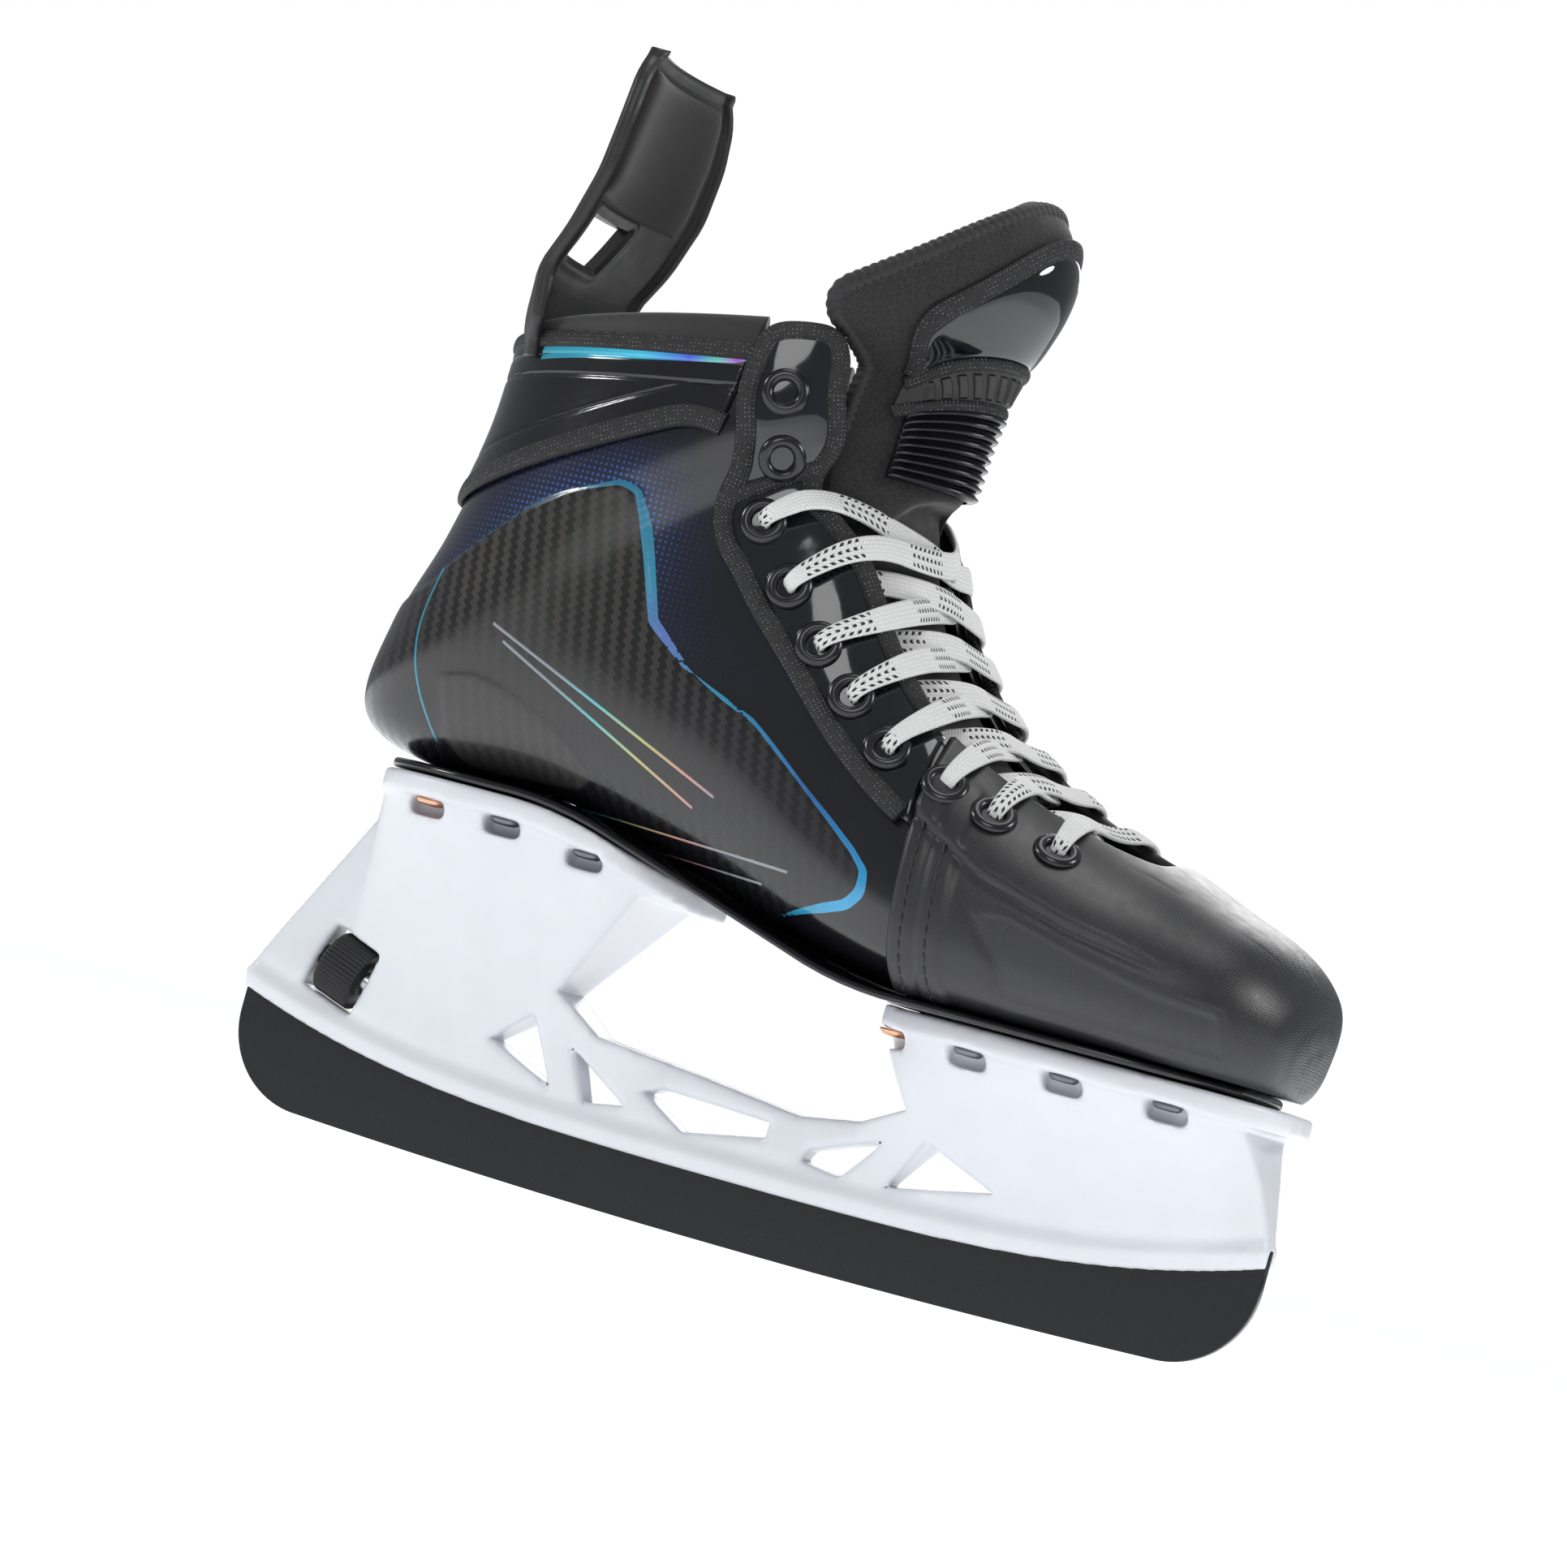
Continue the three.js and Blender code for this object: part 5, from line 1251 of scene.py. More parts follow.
holder = field_mesh("blade_holder", *holder_field())
work = bmesh.new()
work.from_mesh(holder.data)
for _ in range(2):
    bmesh.ops.smooth_vert(work, verts=work.verts, factor=0.35, use_axis_x=True, use_axis_y=True, use_axis_z=True)
bmesh.ops.recalc_face_normals(work, faces=work.faces)
if work.calc_volume(signed=True) < 0:
    bmesh.ops.reverse_faces(work, faces=work.faces)
print("holder volume, cm3:", round(work.calc_volume() * 1e6, 1))
work.to_mesh(holder.data)
work.free()
place(holder, "boot", ["blade_holder"], WHITE_PLASTIC)

# %% [markdown]
# ## Runner, lock and outsole
# The steel has its true rocker and rounded ends, and its edges are eased. The lock wheel is finely knurled.

# %% Runner
def runner_outline():
    end = HALF_LENGTH - RUNNER_END
    bend = [(end + RUNNER_END * math.sin(a), float(edge_line(end)) + RUNNER_END * (1 - math.cos(a)))
            for a in np.linspace(0, math.pi / 2, 24)]
    rear = [(-x, z) for x, z in reversed(bend)]
    bottom = [(x, float(edge_line(x))) for x in np.linspace(-end, end, 80)[1:-1]]
    top = []
    for x in np.linspace(HALF_LENGTH, -HALF_LENGTH, 150):
        for start, finish, height in (FRONT_POST, REAR_POST):
            if start <= x <= finish:
                break
        else:
            top.append((x, float(rail_line(x)) + SLOT_DEPTH - CLEARANCE))
    for start, finish, height in (FRONT_POST, REAR_POST):
        at = next(i for i, (x, _) in enumerate(top) if x < finish)
        foot = [(x, float(rail_line(x)) + SLOT_DEPTH - CLEARANCE) for x in (finish, start)]
        top[at:at] = [foot[0], (finish, height), (start, height), foot[1]]
    return rear + bottom + bend + top


def slab(name, outline, half, ease_mm):
    """A flat plate across y with eased edges."""
    outline = np.asarray(outline, float)
    before, after = outline - np.roll(outline, 1, axis=0), np.roll(outline, -1, axis=0) - outline
    normal = unit(np.stack([before[:, 1] + after[:, 1], -before[:, 0] - after[:, 0]], 1))
    rings = []
    for y, inset in ((-half, ease_mm), (-half + ease_mm * 0.3, ease_mm * 0.3), (-half + ease_mm, 0),
                     (half - ease_mm, 0), (half - ease_mm * 0.3, ease_mm * 0.3), (half, ease_mm)):
        ring = outline - normal * inset
        rings.append(np.stack([ring[:, 0], np.full(len(ring), y), ring[:, 1]], 1))
    count = len(outline)
    faces = [tuple(f) for f in grid_faces(len(rings), count, 0, ring=True)]
    faces += [tuple(range(count)), tuple(range(len(rings) * count - 1, (len(rings) - 1) * count - 1, -1))]
    made = face_outwards(piece(name, np.concatenate(rings), faces))
    for polygon in made.data.polygons:
        polygon.use_smooth = len(polygon.vertices) < 5
    return made


def steel_finish():
    made = Finish("coated_steel", (0.006, 0.0065, 0.0075), 0.26, Specular_IOR_Level=0.4)
    grain = made.noise(3, 2)
    made.set("Roughness", made.fade(grain, 0.3, 0.7, 0.22, 0.32))
    ground_line = made.math("LESS_THAN", made.axis("Z"), 0.00012)
    made.set("Metallic", ground_line)
    made.set("Base Color", made.mix(ground_line, (0.006, 0.0065, 0.0075), (0.45, 0.46, 0.48)))
    return made.material


place(slab("runner", runner_outline(), STEEL_HALF, 0.25), "steel", ["runner"], steel_finish())


# %% Lock wheel and stud
def to_lock(points):
    """Points of a shape turned round z, laid along the lock's axis."""
    across = np.cross(LOCK_AXIS, (0, 1, 0))
    return LOCK_AT + points[:, :1] * across + points[:, 1:2] * np.array([0, 1, 0]) + points[:, 2:] * LOCK_AXIS


def ribbed(name, profile, teeth, depth, sides):
    """A turned shape whose outer wall is knurled; the profile closes on itself."""
    profile = np.asarray(profile, float)
    turn = np.linspace(0, 2 * math.pi, sides, endpoint=False)
    radius = profile[:, :1] + np.where(profile[:, :1] > profile[:, 0].max() - 0.8, depth * np.cos(teeth * turn)[None],
                                       0)
    points = np.stack([radius * np.cos(turn), radius * np.sin(turn), profile[:, 1:] + 0 * turn], -1)
    rows = len(profile)
    faces = [tuple(f) for f in grid_faces(rows, sides, 0, ring=True)]
    faces += [((rows - 1) * sides + k, (rows - 1) * sides + (k + 1) % sides, (k + 1) % sides, k)
              for k in range(sides)]
    return face_outwards(piece(name, to_lock(points.reshape(-1, 3)), faces))


hub, rim_radius, reach = STUD_DIAMETER / 2 + CLEARANCE, WHEEL_DIAMETER / 2 - 0.3, WHEEL_WIDTH / 2
wheel_profile = [(hub, -reach), (5, -reach), (5.4, -reach + 0.5), (7.6, -reach + 0.5), (8.0, -reach)]
wheel_profile += [(rim_radius - 0.5, -reach)] + [(rim_radius, at) for at in np.linspace(-reach + 0.6, reach - 0.6, 9)]
wheel_profile += [(rim_radius - 0.5, reach), (8.0, reach), (7.6, reach - 0.5), (5.4, reach - 0.5), (5, reach),
                  (hub, reach)]
wheel = ribbed("lock_wheel", wheel_profile, 44, 0.26, 352)
place(wheel, "wheel", ["lock_wheel"], KNURLED)

post_face = (REAR_POST[0] - CLEARANCE - LOCK_AT[0]) / LOCK_AXIS[0] - STUD_DIAMETER / 2 * math.tan(LOCK_TILT)
stud_profile = [(0.01, -19), (2.0, -19), (2.5, -18.5), (2.5, post_face - 0.4), (2.1, post_face), (0.01, post_face)]
stud = lathe("lock_stud", stud_profile, 36)
points = to_lock(np.array([v.co for v in stud.data.vertices]) / MM) * MM
stud.data.vertices.foreach_set("co", points.ravel())
place(face_outwards(stud), "stud", ["lock_stud"], BARE_STEEL)


# %% Outsole
def foot_half(x):
    def oval(centre, reach, power):
        return np.maximum(0, 1 - np.abs((x - centre) / reach) ** power) ** (1 / 2.3)
    waist = np.where((x > -86) & (x < 76), 33 + 13 * ease(x, -60, 70), 0)
    return np.maximum(np.maximum(33 * oval(-86, 46, 2.4), 46 * oval(76, 68, 2.6)), waist) + 0.5


x = 5 + 133 * np.sin(np.linspace(-1, 1, 200) * math.pi / 2)[:, None]
s = np.linspace(-1, 1, 40)[None, :]
y = np.maximum(foot_half(x) - 3.0, 0.3) * s
x = 8 + (x - 5) * (127 / 133)
drop = 0.9 * np.abs(s) ** 10
upper = np.stack([x + 0 * s, y, sole_height(x) + 3.25 - drop], -1)
lower = np.stack([x + 0 * s, y, sole_height(x) + 0.35 + drop * 0.5], -1)
place(sheet("outsole", upper, lower), "boot", ["outsole"], GLOSS_BLACK)

# %% [markdown]
# ## Lace
# One flat lace runs from a bar over the toe up through eight pairs of eyelets. Its path is a list of stops on
# the last, each with a height over it. The corners are eased, and the lace is narrow where it passes a bore.

# %% Path of the lace
UNDER, OVER = -4.6, 6.4
MID_HIGH, MID_LOW, MID_PLACE = -0.6, -2.8, 0.92
TOP_ROW, BOTTOM_ROW = 3, 10


def opening_edge(u, side):
    edge = front_edge(np.maximum(u, CAP_REAR), side)
    reach = np.clip((u - CAP_THROAT) / (CAP_REAR - CAP_THROAT), 1e-9, 1)
    return np.where(u >= CAP_REAR, edge, edge + (1 - edge) * (1 - reach ** 0.1))


def nearest_stop(point, v_of, out):
    u = np.linspace(CAP_THROAT + 0.1, 14, 301)
    best = np.argmin(np.linalg.norm(spot(u, v_of(u)) - point, axis=1))
    return float(u[best]), float(v_of(u)[best]), out, 0.0


def crossing(side, number, into_inside):
    (u0, v0), (u1, v1) = EYELETS[side, number], EYELETS[-side, number - 1]
    a, b = spot(u0, v0), spot(u1, v1)
    upper = side < 0 if number == TOP_ROW + 1 else side > 0
    middle = MID_HIGH if upper else MID_LOW
    return [(u0, v0, UNDER, 1.0), (u0, v0, OVER + 1.4, 1.0),
            nearest_stop(a + (b - a) * 0.1, lambda u: side * (opening_edge(u, side) + 0.01), OVER),
            nearest_stop(a + (b - a) * 0.4, lambda u: side * MID_PLACE + 0 * u, middle),
            nearest_stop(a + (b - a) * 0.6, lambda u: -side * MID_PLACE + 0 * u, middle),
            nearest_stop(a + (b - a) * 0.9, lambda u: -side * (opening_edge(u, -side) + 0.01),
                         UNDER if into_inside else OVER)]


def lace_half(side):
    stops = []
    for number in range(BOTTOM_ROW, TOP_ROW, -1):
        stops += crossing(side, number, number > TOP_ROW + 1)
        side = -side
    u, v = EYELETS[side, TOP_ROW]
    return stops + [(u, v, OVER + 1.4, 1.0), (u, v, UNDER, 1.0), (u - 0.5, side * (abs(v) + 0.02), UNDER - 0.3, 0.0)]


LACE_HALF_WIDTH, LACE_HALF_THICKNESS = 3.75, 0.8
stops = lace_half(OUTER)[::-1] + [(5.1, -0.9, UNDER + 0.2, 0.0), (5.1, 0.9, UNDER + 0.2, 0.0)] + lace_half(INNER)
u, v, out, bored = (np.array(values) for values in zip(*stops))
corners = on_last(u, v, out)
tangent = unit(np.concatenate([[corners[1] - corners[0]], corners[2:] - corners[:-2], [corners[-1] - corners[-2]]]))
wide = spot(u + 0.05, v) - spot(u - 0.05, v)
wide = unit(wide - tangent * np.sum(wide * tangent, -1, keepdims=True))
track = smooth_path(np.concatenate([corners, wide, bored[:, None]], 1), 0.9, 3)
centre, wide, bored = track[:, :3], unit(track[:, 3:6]), track[:, 6]
tangent = unit(np.gradient(centre, axis=0))
wide = unit(wide - tangent * np.sum(wide * tangent, -1, keepdims=True))
turn = np.linspace(0, 2 * math.pi, 20, endpoint=False)
squared = np.stack([np.sign(np.cos(turn)) * np.abs(np.cos(turn)) ** 0.6,
                    np.sign(np.sin(turn)) * np.abs(np.sin(turn)) ** 0.7], 1)
half_sizes = np.stack([LACE_HALF_WIDTH + (2.1 - LACE_HALF_WIDTH) * bored, LACE_HALF_THICKNESS + 0.3 * bored], 1)
section = squared[None] * half_sizes[:, None]
lace = sweep("lace", centre, wide, np.cross(tangent, wide), section)
run = np.concatenate([[0], np.cumsum(np.linalg.norm(np.diff(centre, axis=0), axis=1))])
print("lace length, mm:", round(run[-1]))


rows = centre[:, None] + wide[:, None] * section[..., :1] + np.cross(tangent, wide)[:, None] * section[..., 1:]
across = np.broadcast_to(squared[None, :, 0] * LACE_HALF_WIDTH, rows.shape[:2])
give_near(lace, "path", np.stack([across, np.broadcast_to(run[:, None], across.shape)], -1).reshape(-1, 2) * MM,
          rows.reshape(-1, 3))


def lace_finish():
    """White flat braid with groups of black ticks in three rows; the braid's valleys are darkened with painted shade.
    """
    made = Finish("flecked_lace", (0.8, 0.8, 0.78), 0.85, Sheen_Weight=0.1)
    across, along = made.axis("X", made.uv("path")), made.axis("Y", made.uv("path"))
    lean = made.math("MULTIPLY", made.math("ABSOLUTE", across), 0.7)
    braid = made.math("ADD", along, lean)
    stitch = waves(made, braid, 1.15)
    rib = waves(made, across, 1.25)
    tick = made.math("LESS_THAN", made.math("FRACT", made.math("MULTIPLY", braid, 1000 / 2.3)), 0.5)
    row_shift = made.math("FRACT", made.math("MULTIPLY_ADD", across, 1000 / 2.5, 0.5))
    in_row = made.math("MULTIPLY", made.math("GREATER_THAN", row_shift, 0.28),
                       made.math("LESS_THAN", row_shift, 0.72))
    on_face = made.math("LESS_THAN", made.math("ABSOLUTE", across), 0.0031)
    group = made.math("LESS_THAN", made.math("FRACT", made.math("MULTIPLY", along, 1000 / 37)), 0.46)
    dark = made.math("MULTIPLY", made.math("MULTIPLY", tick, in_row), made.math("MULTIPLY", group, on_face))
    # painted shade: the white braid is darker in the valleys between its stitches and ribs, following the bump height
    white = made.mix(made.math("MULTIPLY", stitch, rib), (0.62, 0.62, 0.61), (0.88, 0.88, 0.87))
    made.set("Base Color", made.mix(dark, white, (0.012, 0.012, 0.013)))
    made.bump(made.math("MULTIPLY", stitch, rib), 0.22)
    return made.material


place(lace, "boot", ["lace"], lace_finish())

# %% [markdown]
# ## Tongue
# The tongue is one felt piece from the toe to its flared top. Glossy ribs,
# a band and a shield are sewn on its front, and a corded binding rolls round its edge.

# %% The tongue's own surface
TONGUE_CENTRE, TONGUE_WALL, TONGUE_DEPTH = 5.0, 7.0, -7.6
knots = np.array([(9.5, 121), (11, 128), (12, 139), (13, 153), (17, 173), (22, 189), (23, 200), (21, 210), (15, 217)],
                 float)


def through(points, share):
    """A curve through all points, as the CAD spline draws it."""
    share = np.asarray(share, float) * (len(points) - 1)
    k = np.minimum(share.astype(int), len(points) - 2)
    f = (share - k)[..., None]
    p1, p2 = points[k], points[k + 1]
    p0, p3 = points[np.maximum(k - 1, 0)], points[np.minimum(k + 2, len(points) - 1)]
    p0 = np.where((k == 0)[..., None], p1, p0)
    p3 = np.where((k == len(points) - 2)[..., None], p2, p3)
    v0, v1 = (p2 - p0) / 2, (p3 - p1) / 2
    return (2 * p1 - 2 * p2 + v0 + v1) * f ** 3 + (-3 * p1 + 3 * p2 - 2 * v0 - v1) * f ** 2 + v0 * f + p1


TONGUE_LINE = through(knots, np.linspace(0, 1, 400))


def tongue_spot(t, s, out=0.0):
    t, s = np.broadcast_arrays(np.asarray(t, float), np.asarray(s, float))
    size = np.abs(s)
    h = 133 + (217 - 46 * size ** 2.4 - 133) * t
    flare = ease(h, 160, 180)
    half, depth, power = 26 + 23 * flare, 30 + 16 * flare, 1.7 + 0.2 * flare
    x = np.interp(h, TONGUE_LINE[:, 1], TONGUE_LINE[:, 0]) - depth * size ** power
    normal = unit(np.stack([half, np.sign(s) * power * depth * np.maximum(size, 1e-6) ** (power - 1), 0 * half], -1))
    point = np.stack([x, TONGUE_CENTRE + half * s, h + SOLE_HEIGHT], -1)
    return point + normal * np.broadcast_to(np.asarray(out, float), s.shape)[..., None]


def on_tongue(name, t0, t1, reach, height, rows=40, cols=80, base=0.4):
    """A pad or strip on the tongue's front; height takes the two shares from -1 to 1 and gives mm."""
    i, s = np.linspace(-1, 1, rows)[:, None], np.linspace(-1, 1, cols)[None, :]
    t = t0 + (t1 - t0) * (i + 1) / 2
    return sheet(name, tongue_spot(t + 0 * s, reach * s + 0 * t, height(i, s)),
                 tongue_spot(t + 0 * s, reach * s + 0 * t, base))


# %% The felt from toe to top
s = np.linspace(-1, 1, 90)[None, :]
low_u = np.linspace(5.1, 9.25, 90)[:, None]
side = np.where(s < 0, -1.0, 1.0)
v = side * (1 - 0.36 * np.abs(s)) + 0 * low_u
pads = 0.8 * np.cos(s * math.pi / 2) + 0 * low_u
low_front, low_back = on_last(low_u + 0 * s, v, TONGUE_DEPTH + 0.6), on_last(low_u + 0 * s, v,
                                                                             TONGUE_DEPTH - TONGUE_WALL + 1.6 - pads)
t = np.linspace(0.0, 1, 120)[:, None]
edge = np.clip(1 - np.maximum(np.abs(s) - 0.9, 0) / 0.1, 0, 1) * np.clip((1 - t) / 0.05, 0, 1)
thick = TONGUE_WALL * (0.45 + 0.55 * np.sqrt(edge))
high_front, high_back = tongue_spot(t + 0 * s, s + 0 * t, -0.4), tongue_spot(t + 0 * s, s + 0 * t, -0.4 - thick)
share = np.linspace(0, 1, 12)[1:-1, None, None]
front = np.concatenate([low_front, low_front[-1] + (high_front[0] - low_front[-1]) * share, high_front])
back = np.concatenate([low_back, low_back[-1] + (high_back[0] - low_back[-1]) * share, high_back])
for _ in range(14):
    for grid in (front, back):
        grid[80:110] = grid[80:110] * 0.5 + (grid[79:109] + grid[81:111]) * 0.25
felt_piece = sheet("tongue_felt", front, back)
felt_piece.data.materials.append(FELT)
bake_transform(felt_piece)
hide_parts("tongue_lower", "tongue_upper")

# %% Ribs, band and shield
def rib_height(i, s):
    ripple = np.abs(np.sin((i + 1) / 2 * math.pi * 9 + 0 * s)) ** 0.7
    return 0.9 + 2.2 * ripple * np.clip((1 - np.abs(s)) / 0.12, 0, 1) ** 0.5


ribs = on_tongue("tongue_ribs", 0.02, 0.31, 0.72, rib_height, rows=200, cols=90)
place(ribs, "tongue_top", ["tongue_ribs"], GLOSS_BLACK)


def band_height(i, s):
    """A band with a raised rim and a row of slanted raised blocks."""
    rim = ease(np.abs(i), 0.74, 0.80) * 1.0
    slant = (s * 16 + i * 0.8) % 2
    block = ease(np.abs(i), 0.62, 0.5) * ease(slant, 0.15, 0.35) * ease(slant, 1.5, 1.3) * ease(np.abs(s), 0.86, 0.8)
    return 1.3 + 0.7 * rim + 0.9 * block - 0.4 * ease(np.abs(s), 0.95, 1.0)


place(on_tongue("tongue_band", 0.32, 0.46, 0.8, band_height, rows=70, cols=420), "tongue_top",
      ["tongue_band"], MATTE_BLACK)


i, s = np.linspace(0, 1, 70)[:, None], np.linspace(-1, 1, 130)[None, :]
arch = 0.48 + (0.36 * (1 - np.abs(s) ** 2.2) + 0.012) * i
crown = 1.1 + 1.4 * np.clip(1 - np.abs(s) ** 5, 0, 1) * np.clip(1 - np.abs(2 * i - 1) ** 5, 0, 1) ** 0.6
shield = sheet("tongue_shield", tongue_spot(arch, 0.72 * s + 0 * arch, crown),
               tongue_spot(arch, 0.72 * s + 0 * arch, 0.4))
place(shield, "tongue_top", ["tongue_shield"], PATENT)


# %% Binding round the tongue, and webbing round the shield
def tongue_bar(name, t, s, width, height, lift, cord_turns=0.0):
    centre = tongue_spot(t, s, lift)
    up = unit(tongue_spot(t, s, 1.0) - tongue_spot(t, s, 0.0))
    tangent = unit(np.gradient(centre, axis=0))
    side = unit(np.cross(up, tangent))
    run = np.concatenate([[0], np.cumsum(np.linalg.norm(np.diff(centre, axis=0), axis=1))])
    turn = np.linspace(0, 2 * math.pi, 16, endpoint=False)
    section = np.stack([np.cos(turn) * width / 2, np.sin(turn) * height / 2], 1)[None]
    if cord_turns:
        section = section * (1 + 0.07 * np.cos(turn[None] * 2 - run[:, None] * cord_turns))[..., None]
    bar = sweep(name, centre, side, up, np.broadcast_to(section, (len(centre), 16, 2)))
    rows = centre[:, None] + side[:, None] * section[..., :1] + up[:, None] * section[..., 1:]
    flat = np.stack([np.broadcast_to(np.cos(turn) * width / 2, rows.shape[:2]),
                     np.broadcast_to(run[:, None], rows.shape[:2])], -1)
    give_near(bar, "path", flat.reshape(-1, 2) * MM, rows.reshape(-1, 3))
    return bar


def even(t, s, gap=1.0):
    """The same path on the tongue with even steps in mm."""
    far = np.concatenate([[0], np.cumsum(np.linalg.norm(np.diff(tongue_spot(t, s), axis=0), axis=1))])
    at = np.linspace(0, far[-1], int(far[-1] / gap))
    return np.interp(at, far, t), np.interp(at, far, s)


a = np.linspace(0, 1, 300)
edge_t = np.concatenate([0.25 + 0.72 * a, np.full(600, 0.97), 0.97 - 0.72 * a])
edge_s = np.concatenate([-0.985 + 0 * a, np.linspace(-0.985, 0.985, 600), 0.985 + 0 * a])
t, s = even(edge_t, edge_s, 0.6)
cord = tongue_bar("tongue_binding", t, s, 5.4, 5.4, -2.8, 2.6)
place(cord, "tongue_top", [], COLLAR_CLOTH)
s = np.linspace(-0.77, 0.77, 300)
bars = [tongue_bar("tongue_webbing", *even(0.475 + 0.395 * (1 - np.abs(s / 0.77) ** 2.2), s), 6.4, 2.4, 0.9)]
for number, at in enumerate((0.32, 0.462)):
    s = np.linspace(-0.8, 0.8, 300)
    bars.append(tongue_bar(f"tongue_webbing_{number}", *even(at + 0 * s, s), 3.4, 2.2, 1.5))
place(join(bars[0], bars[1:]), "tongue_top", [], BINDING)

# %% [markdown]
# ## Tendon guard
# The guard is one flexing moulding. It is blended over its living hinge just above the collar, and its
# soft pad rides on it.

# %% Guard and pad
GUARD_ROWS = np.array([(142.5, -103, -115, 31), (153, -105, -117, 33), (167, -107, -116, 33), (179, -101, -111, 35),
                       (195, -96, -106, 36.5), (211, -94.5, -103, 36.5), (223, -94.5, -101, 34),
                       (231, -95, -100, 27)])
GUARD_WINDOW = [(-16, 173), (-13, 186), (13, 186), (9, 173)]


def guard_spot(h, s, out):
    h, s = np.broadcast_arrays(np.asarray(h, float), np.asarray(s, float))
    rows = np.array(GUARD_ROWS, float)
    smooth = [sum(np.interp(h + d, rows[:, 0], rows[:, k]) for d in (-2.5, 0, 2.5)) / 3 for k in (1, 2, 3)]
    depth = smooth[0] - smooth[1]
    slope = np.arctan2(2 * depth * s, smooth[2])
    x = smooth[1] + depth * s * s - out * np.cos(slope)
    return np.stack([x, smooth[2] * s + out * np.sin(slope), SOLE_HEIGHT + h + 0 * s], -1)


h = np.linspace(142.5, 230.9, 200)[:, None]
s = np.linspace(-1, 1, 170)[None, :]
place_y = guard_spot(h, s, 0)[..., 1]
flat = np.stack([place_y.ravel(), (h + 0 * s).ravel()], 1)
window_mm = -signed_inside(flat, GUARD_WINDOW).reshape(place_y.shape)
rim_mm = (1 - np.abs(s)) * 33 + 0 * h
frame_rise = 1.1 * np.exp(-((window_mm - 2.2) / 1.6) ** 2) + 1.2 * ease(rim_mm, 3.6, 1.2) * ease(h, 150, 162)
top_rise = 1.0 * ease(231 - h, 3.4, 1.0)
inset = 1 - 0.1 * ease(h, 153, 146)
outer = guard_spot(h, s * inset, 1.6 - 0.9 * ease(rim_mm, 1.0, 0) + 0 * h)
inner = guard_spot(h, s * inset, -1.6 - frame_rise * ease(h, 150, 160) - top_rise + 0 * h)
guard_mesh = sheet("tendon_guard", outer, inner)
cutter = piece("window_cutter", [(x, y, z + SOLE_HEIGHT) for x in (-140, -80) for y, z in GUARD_WINDOW],
               [(0, 1, 2, 3), (7, 6, 5, 4), (0, 4, 5, 1), (1, 5, 6, 2), (2, 6, 7, 3), (3, 7, 4, 0)], smooth=False)
face_outwards(cutter)
modifier = guard_mesh.modifiers.new("window", "BOOLEAN")
modifier.operation, modifier.solver, modifier.object = "DIFFERENCE", "EXACT", cutter
cut_mesh = bpy.data.meshes.new_from_object(guard_mesh.evaluated_get(bpy.context.evaluated_depsgraph_get()))
guard_mesh.modifiers.remove(modifier)
guard_mesh.data = cut_mesh
bpy.data.objects.remove(cutter)
guard_mesh.data.materials.clear()
guard_mesh.data.materials.append(MATTE_BLACK)
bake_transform(guard_mesh)
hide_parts("tendon_guard", "tendon_guard_base")

i = np.linspace(-1, 1, 70)[:, None]
s = np.linspace(-1, 1, 90)[None, :]
puff = np.clip(1 - np.abs(s) ** 8, 0, 1) ** 0.5 * np.clip(1 - np.abs(i) ** 8, 0, 1) ** 0.5
h = 207.5 + 18.5 * i
pad = sheet("tendon_guard_pad", guard_spot(h, 0.84 * s, -1.9 + 0 * puff), guard_spot(h, 0.84 * s, -2.0 - 4.0 * puff))
place(pad, "guard", ["tendon_guard_pad"], PAD_CLOTH)

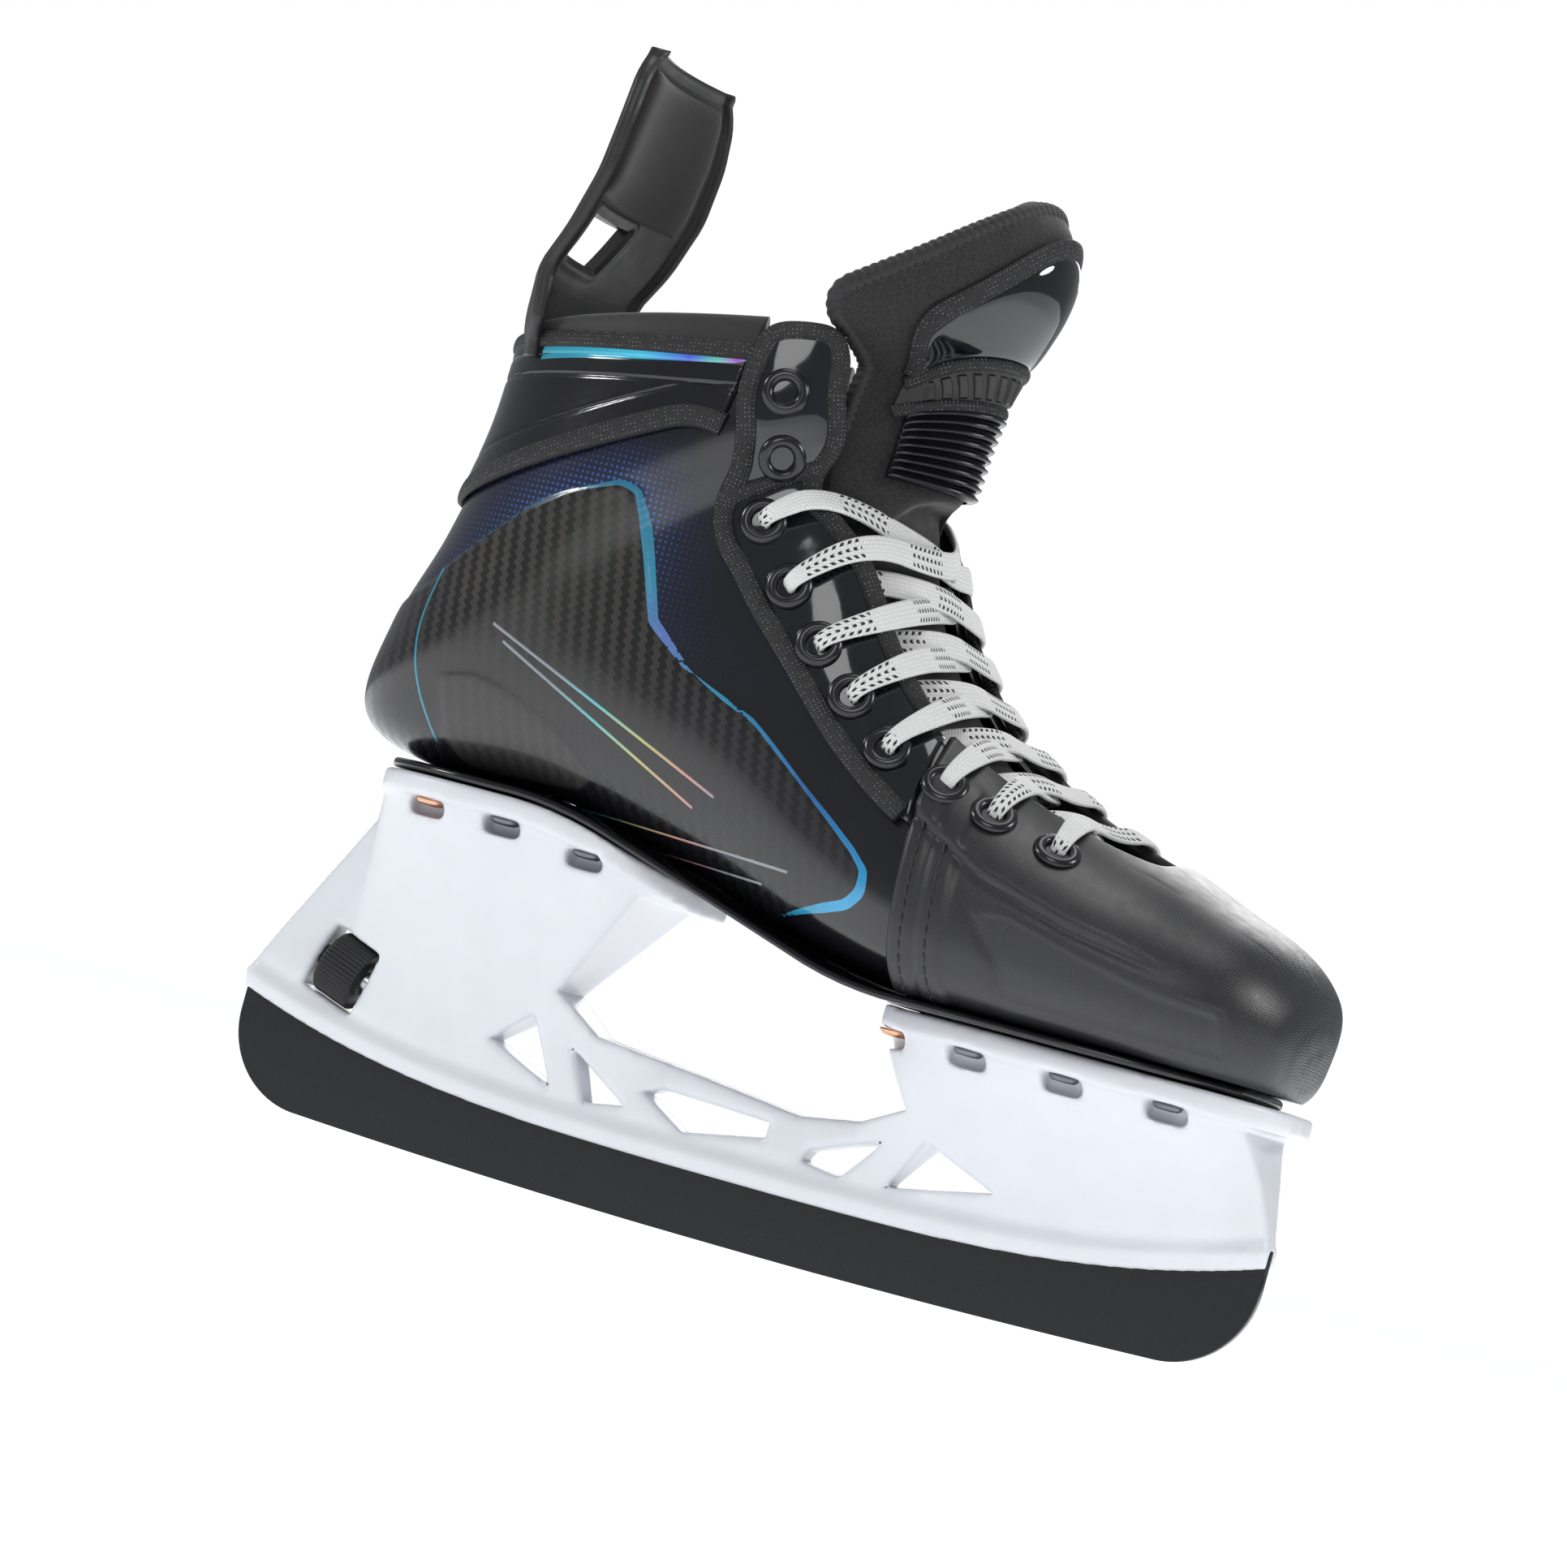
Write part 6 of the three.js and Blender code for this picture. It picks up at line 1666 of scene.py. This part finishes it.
# %% Floor and light
FLOOR_HEIGHT = -0.0315              # the steel drops 30 mm out of its holder, so the floor lies lower
FLOOR_GLOW = 0.76                   # lifts the floor to the white of the backdrop
ROOM_LIGHT = 0.27


def add_floor():
    mesh = bpy.data.meshes.new("floor")
    mesh.from_pydata([(-4, -4, 0), (4, -4, 0), (4, 4, 0), (-4, 4, 0)], [], [(0, 1, 2, 3)])
    floor = bpy.data.objects.new("floor", mesh)
    floor.location.z = FLOOR_HEIGHT
    scene.collection.objects.link(floor)
    finish = Finish("pale_floor", (0.86, 0.87, 0.88), 0.8, Emission_Color=(1, 1, 1, 1), Emission_Strength=FLOOR_GLOW)
    mesh.materials.append(finish.material)


def add_light(name, place_at, size, power, aim=(0, 0, 0.14)):
    data = bpy.data.lights.new(name, "AREA")
    data.shape, data.size, data.energy = "DISK", size, power
    light = bpy.data.objects.new(name, data)
    scene.collection.objects.link(light)
    light.location = place_at
    light.rotation_mode = "QUATERNION"
    light.rotation_quaternion = (Vector(aim) - Vector(place_at)).to_track_quat("-Z", "Y")


world = bpy.data.worlds.new("studio") if not scene.world else scene.world
scene.world = world
world.use_nodes = True
scene.view_settings.view_transform = "Standard"
tree = world.node_tree
backdrop, room = tree.nodes.new("ShaderNodeBackground"), tree.nodes["Background"]
backdrop.inputs[0].default_value = (1, 1, 1, 1)
room.inputs[0].default_value, room.inputs[1].default_value = (0.93, 0.95, 1, 1), ROOM_LIGHT
path, choose = tree.nodes.new("ShaderNodeLightPath"), tree.nodes.new("ShaderNodeMixShader")
tree.links.new(path.outputs["Is Camera Ray"], choose.inputs[0])
tree.links.new(room.outputs[0], choose.inputs[1])
tree.links.new(backdrop.outputs[0], choose.inputs[2])
tree.links.new(choose.outputs[0], tree.nodes["World Output"].inputs[0])
add_floor()
add_light("key", (0.3, -1.6, 1.1), 0.9, 7)
add_light("rear", (-1.3, -0.7, 0.9), 0.35, 7)
add_light("front", (1.2, 0.1, 0.9), 0.45, 7)
add_light("far_side", (-0.3, 1.5, 0.9), 0.9, 8)
add_light("top", (0, 0.1, 1.5), 0.9, 6)
print("floor and five lights")
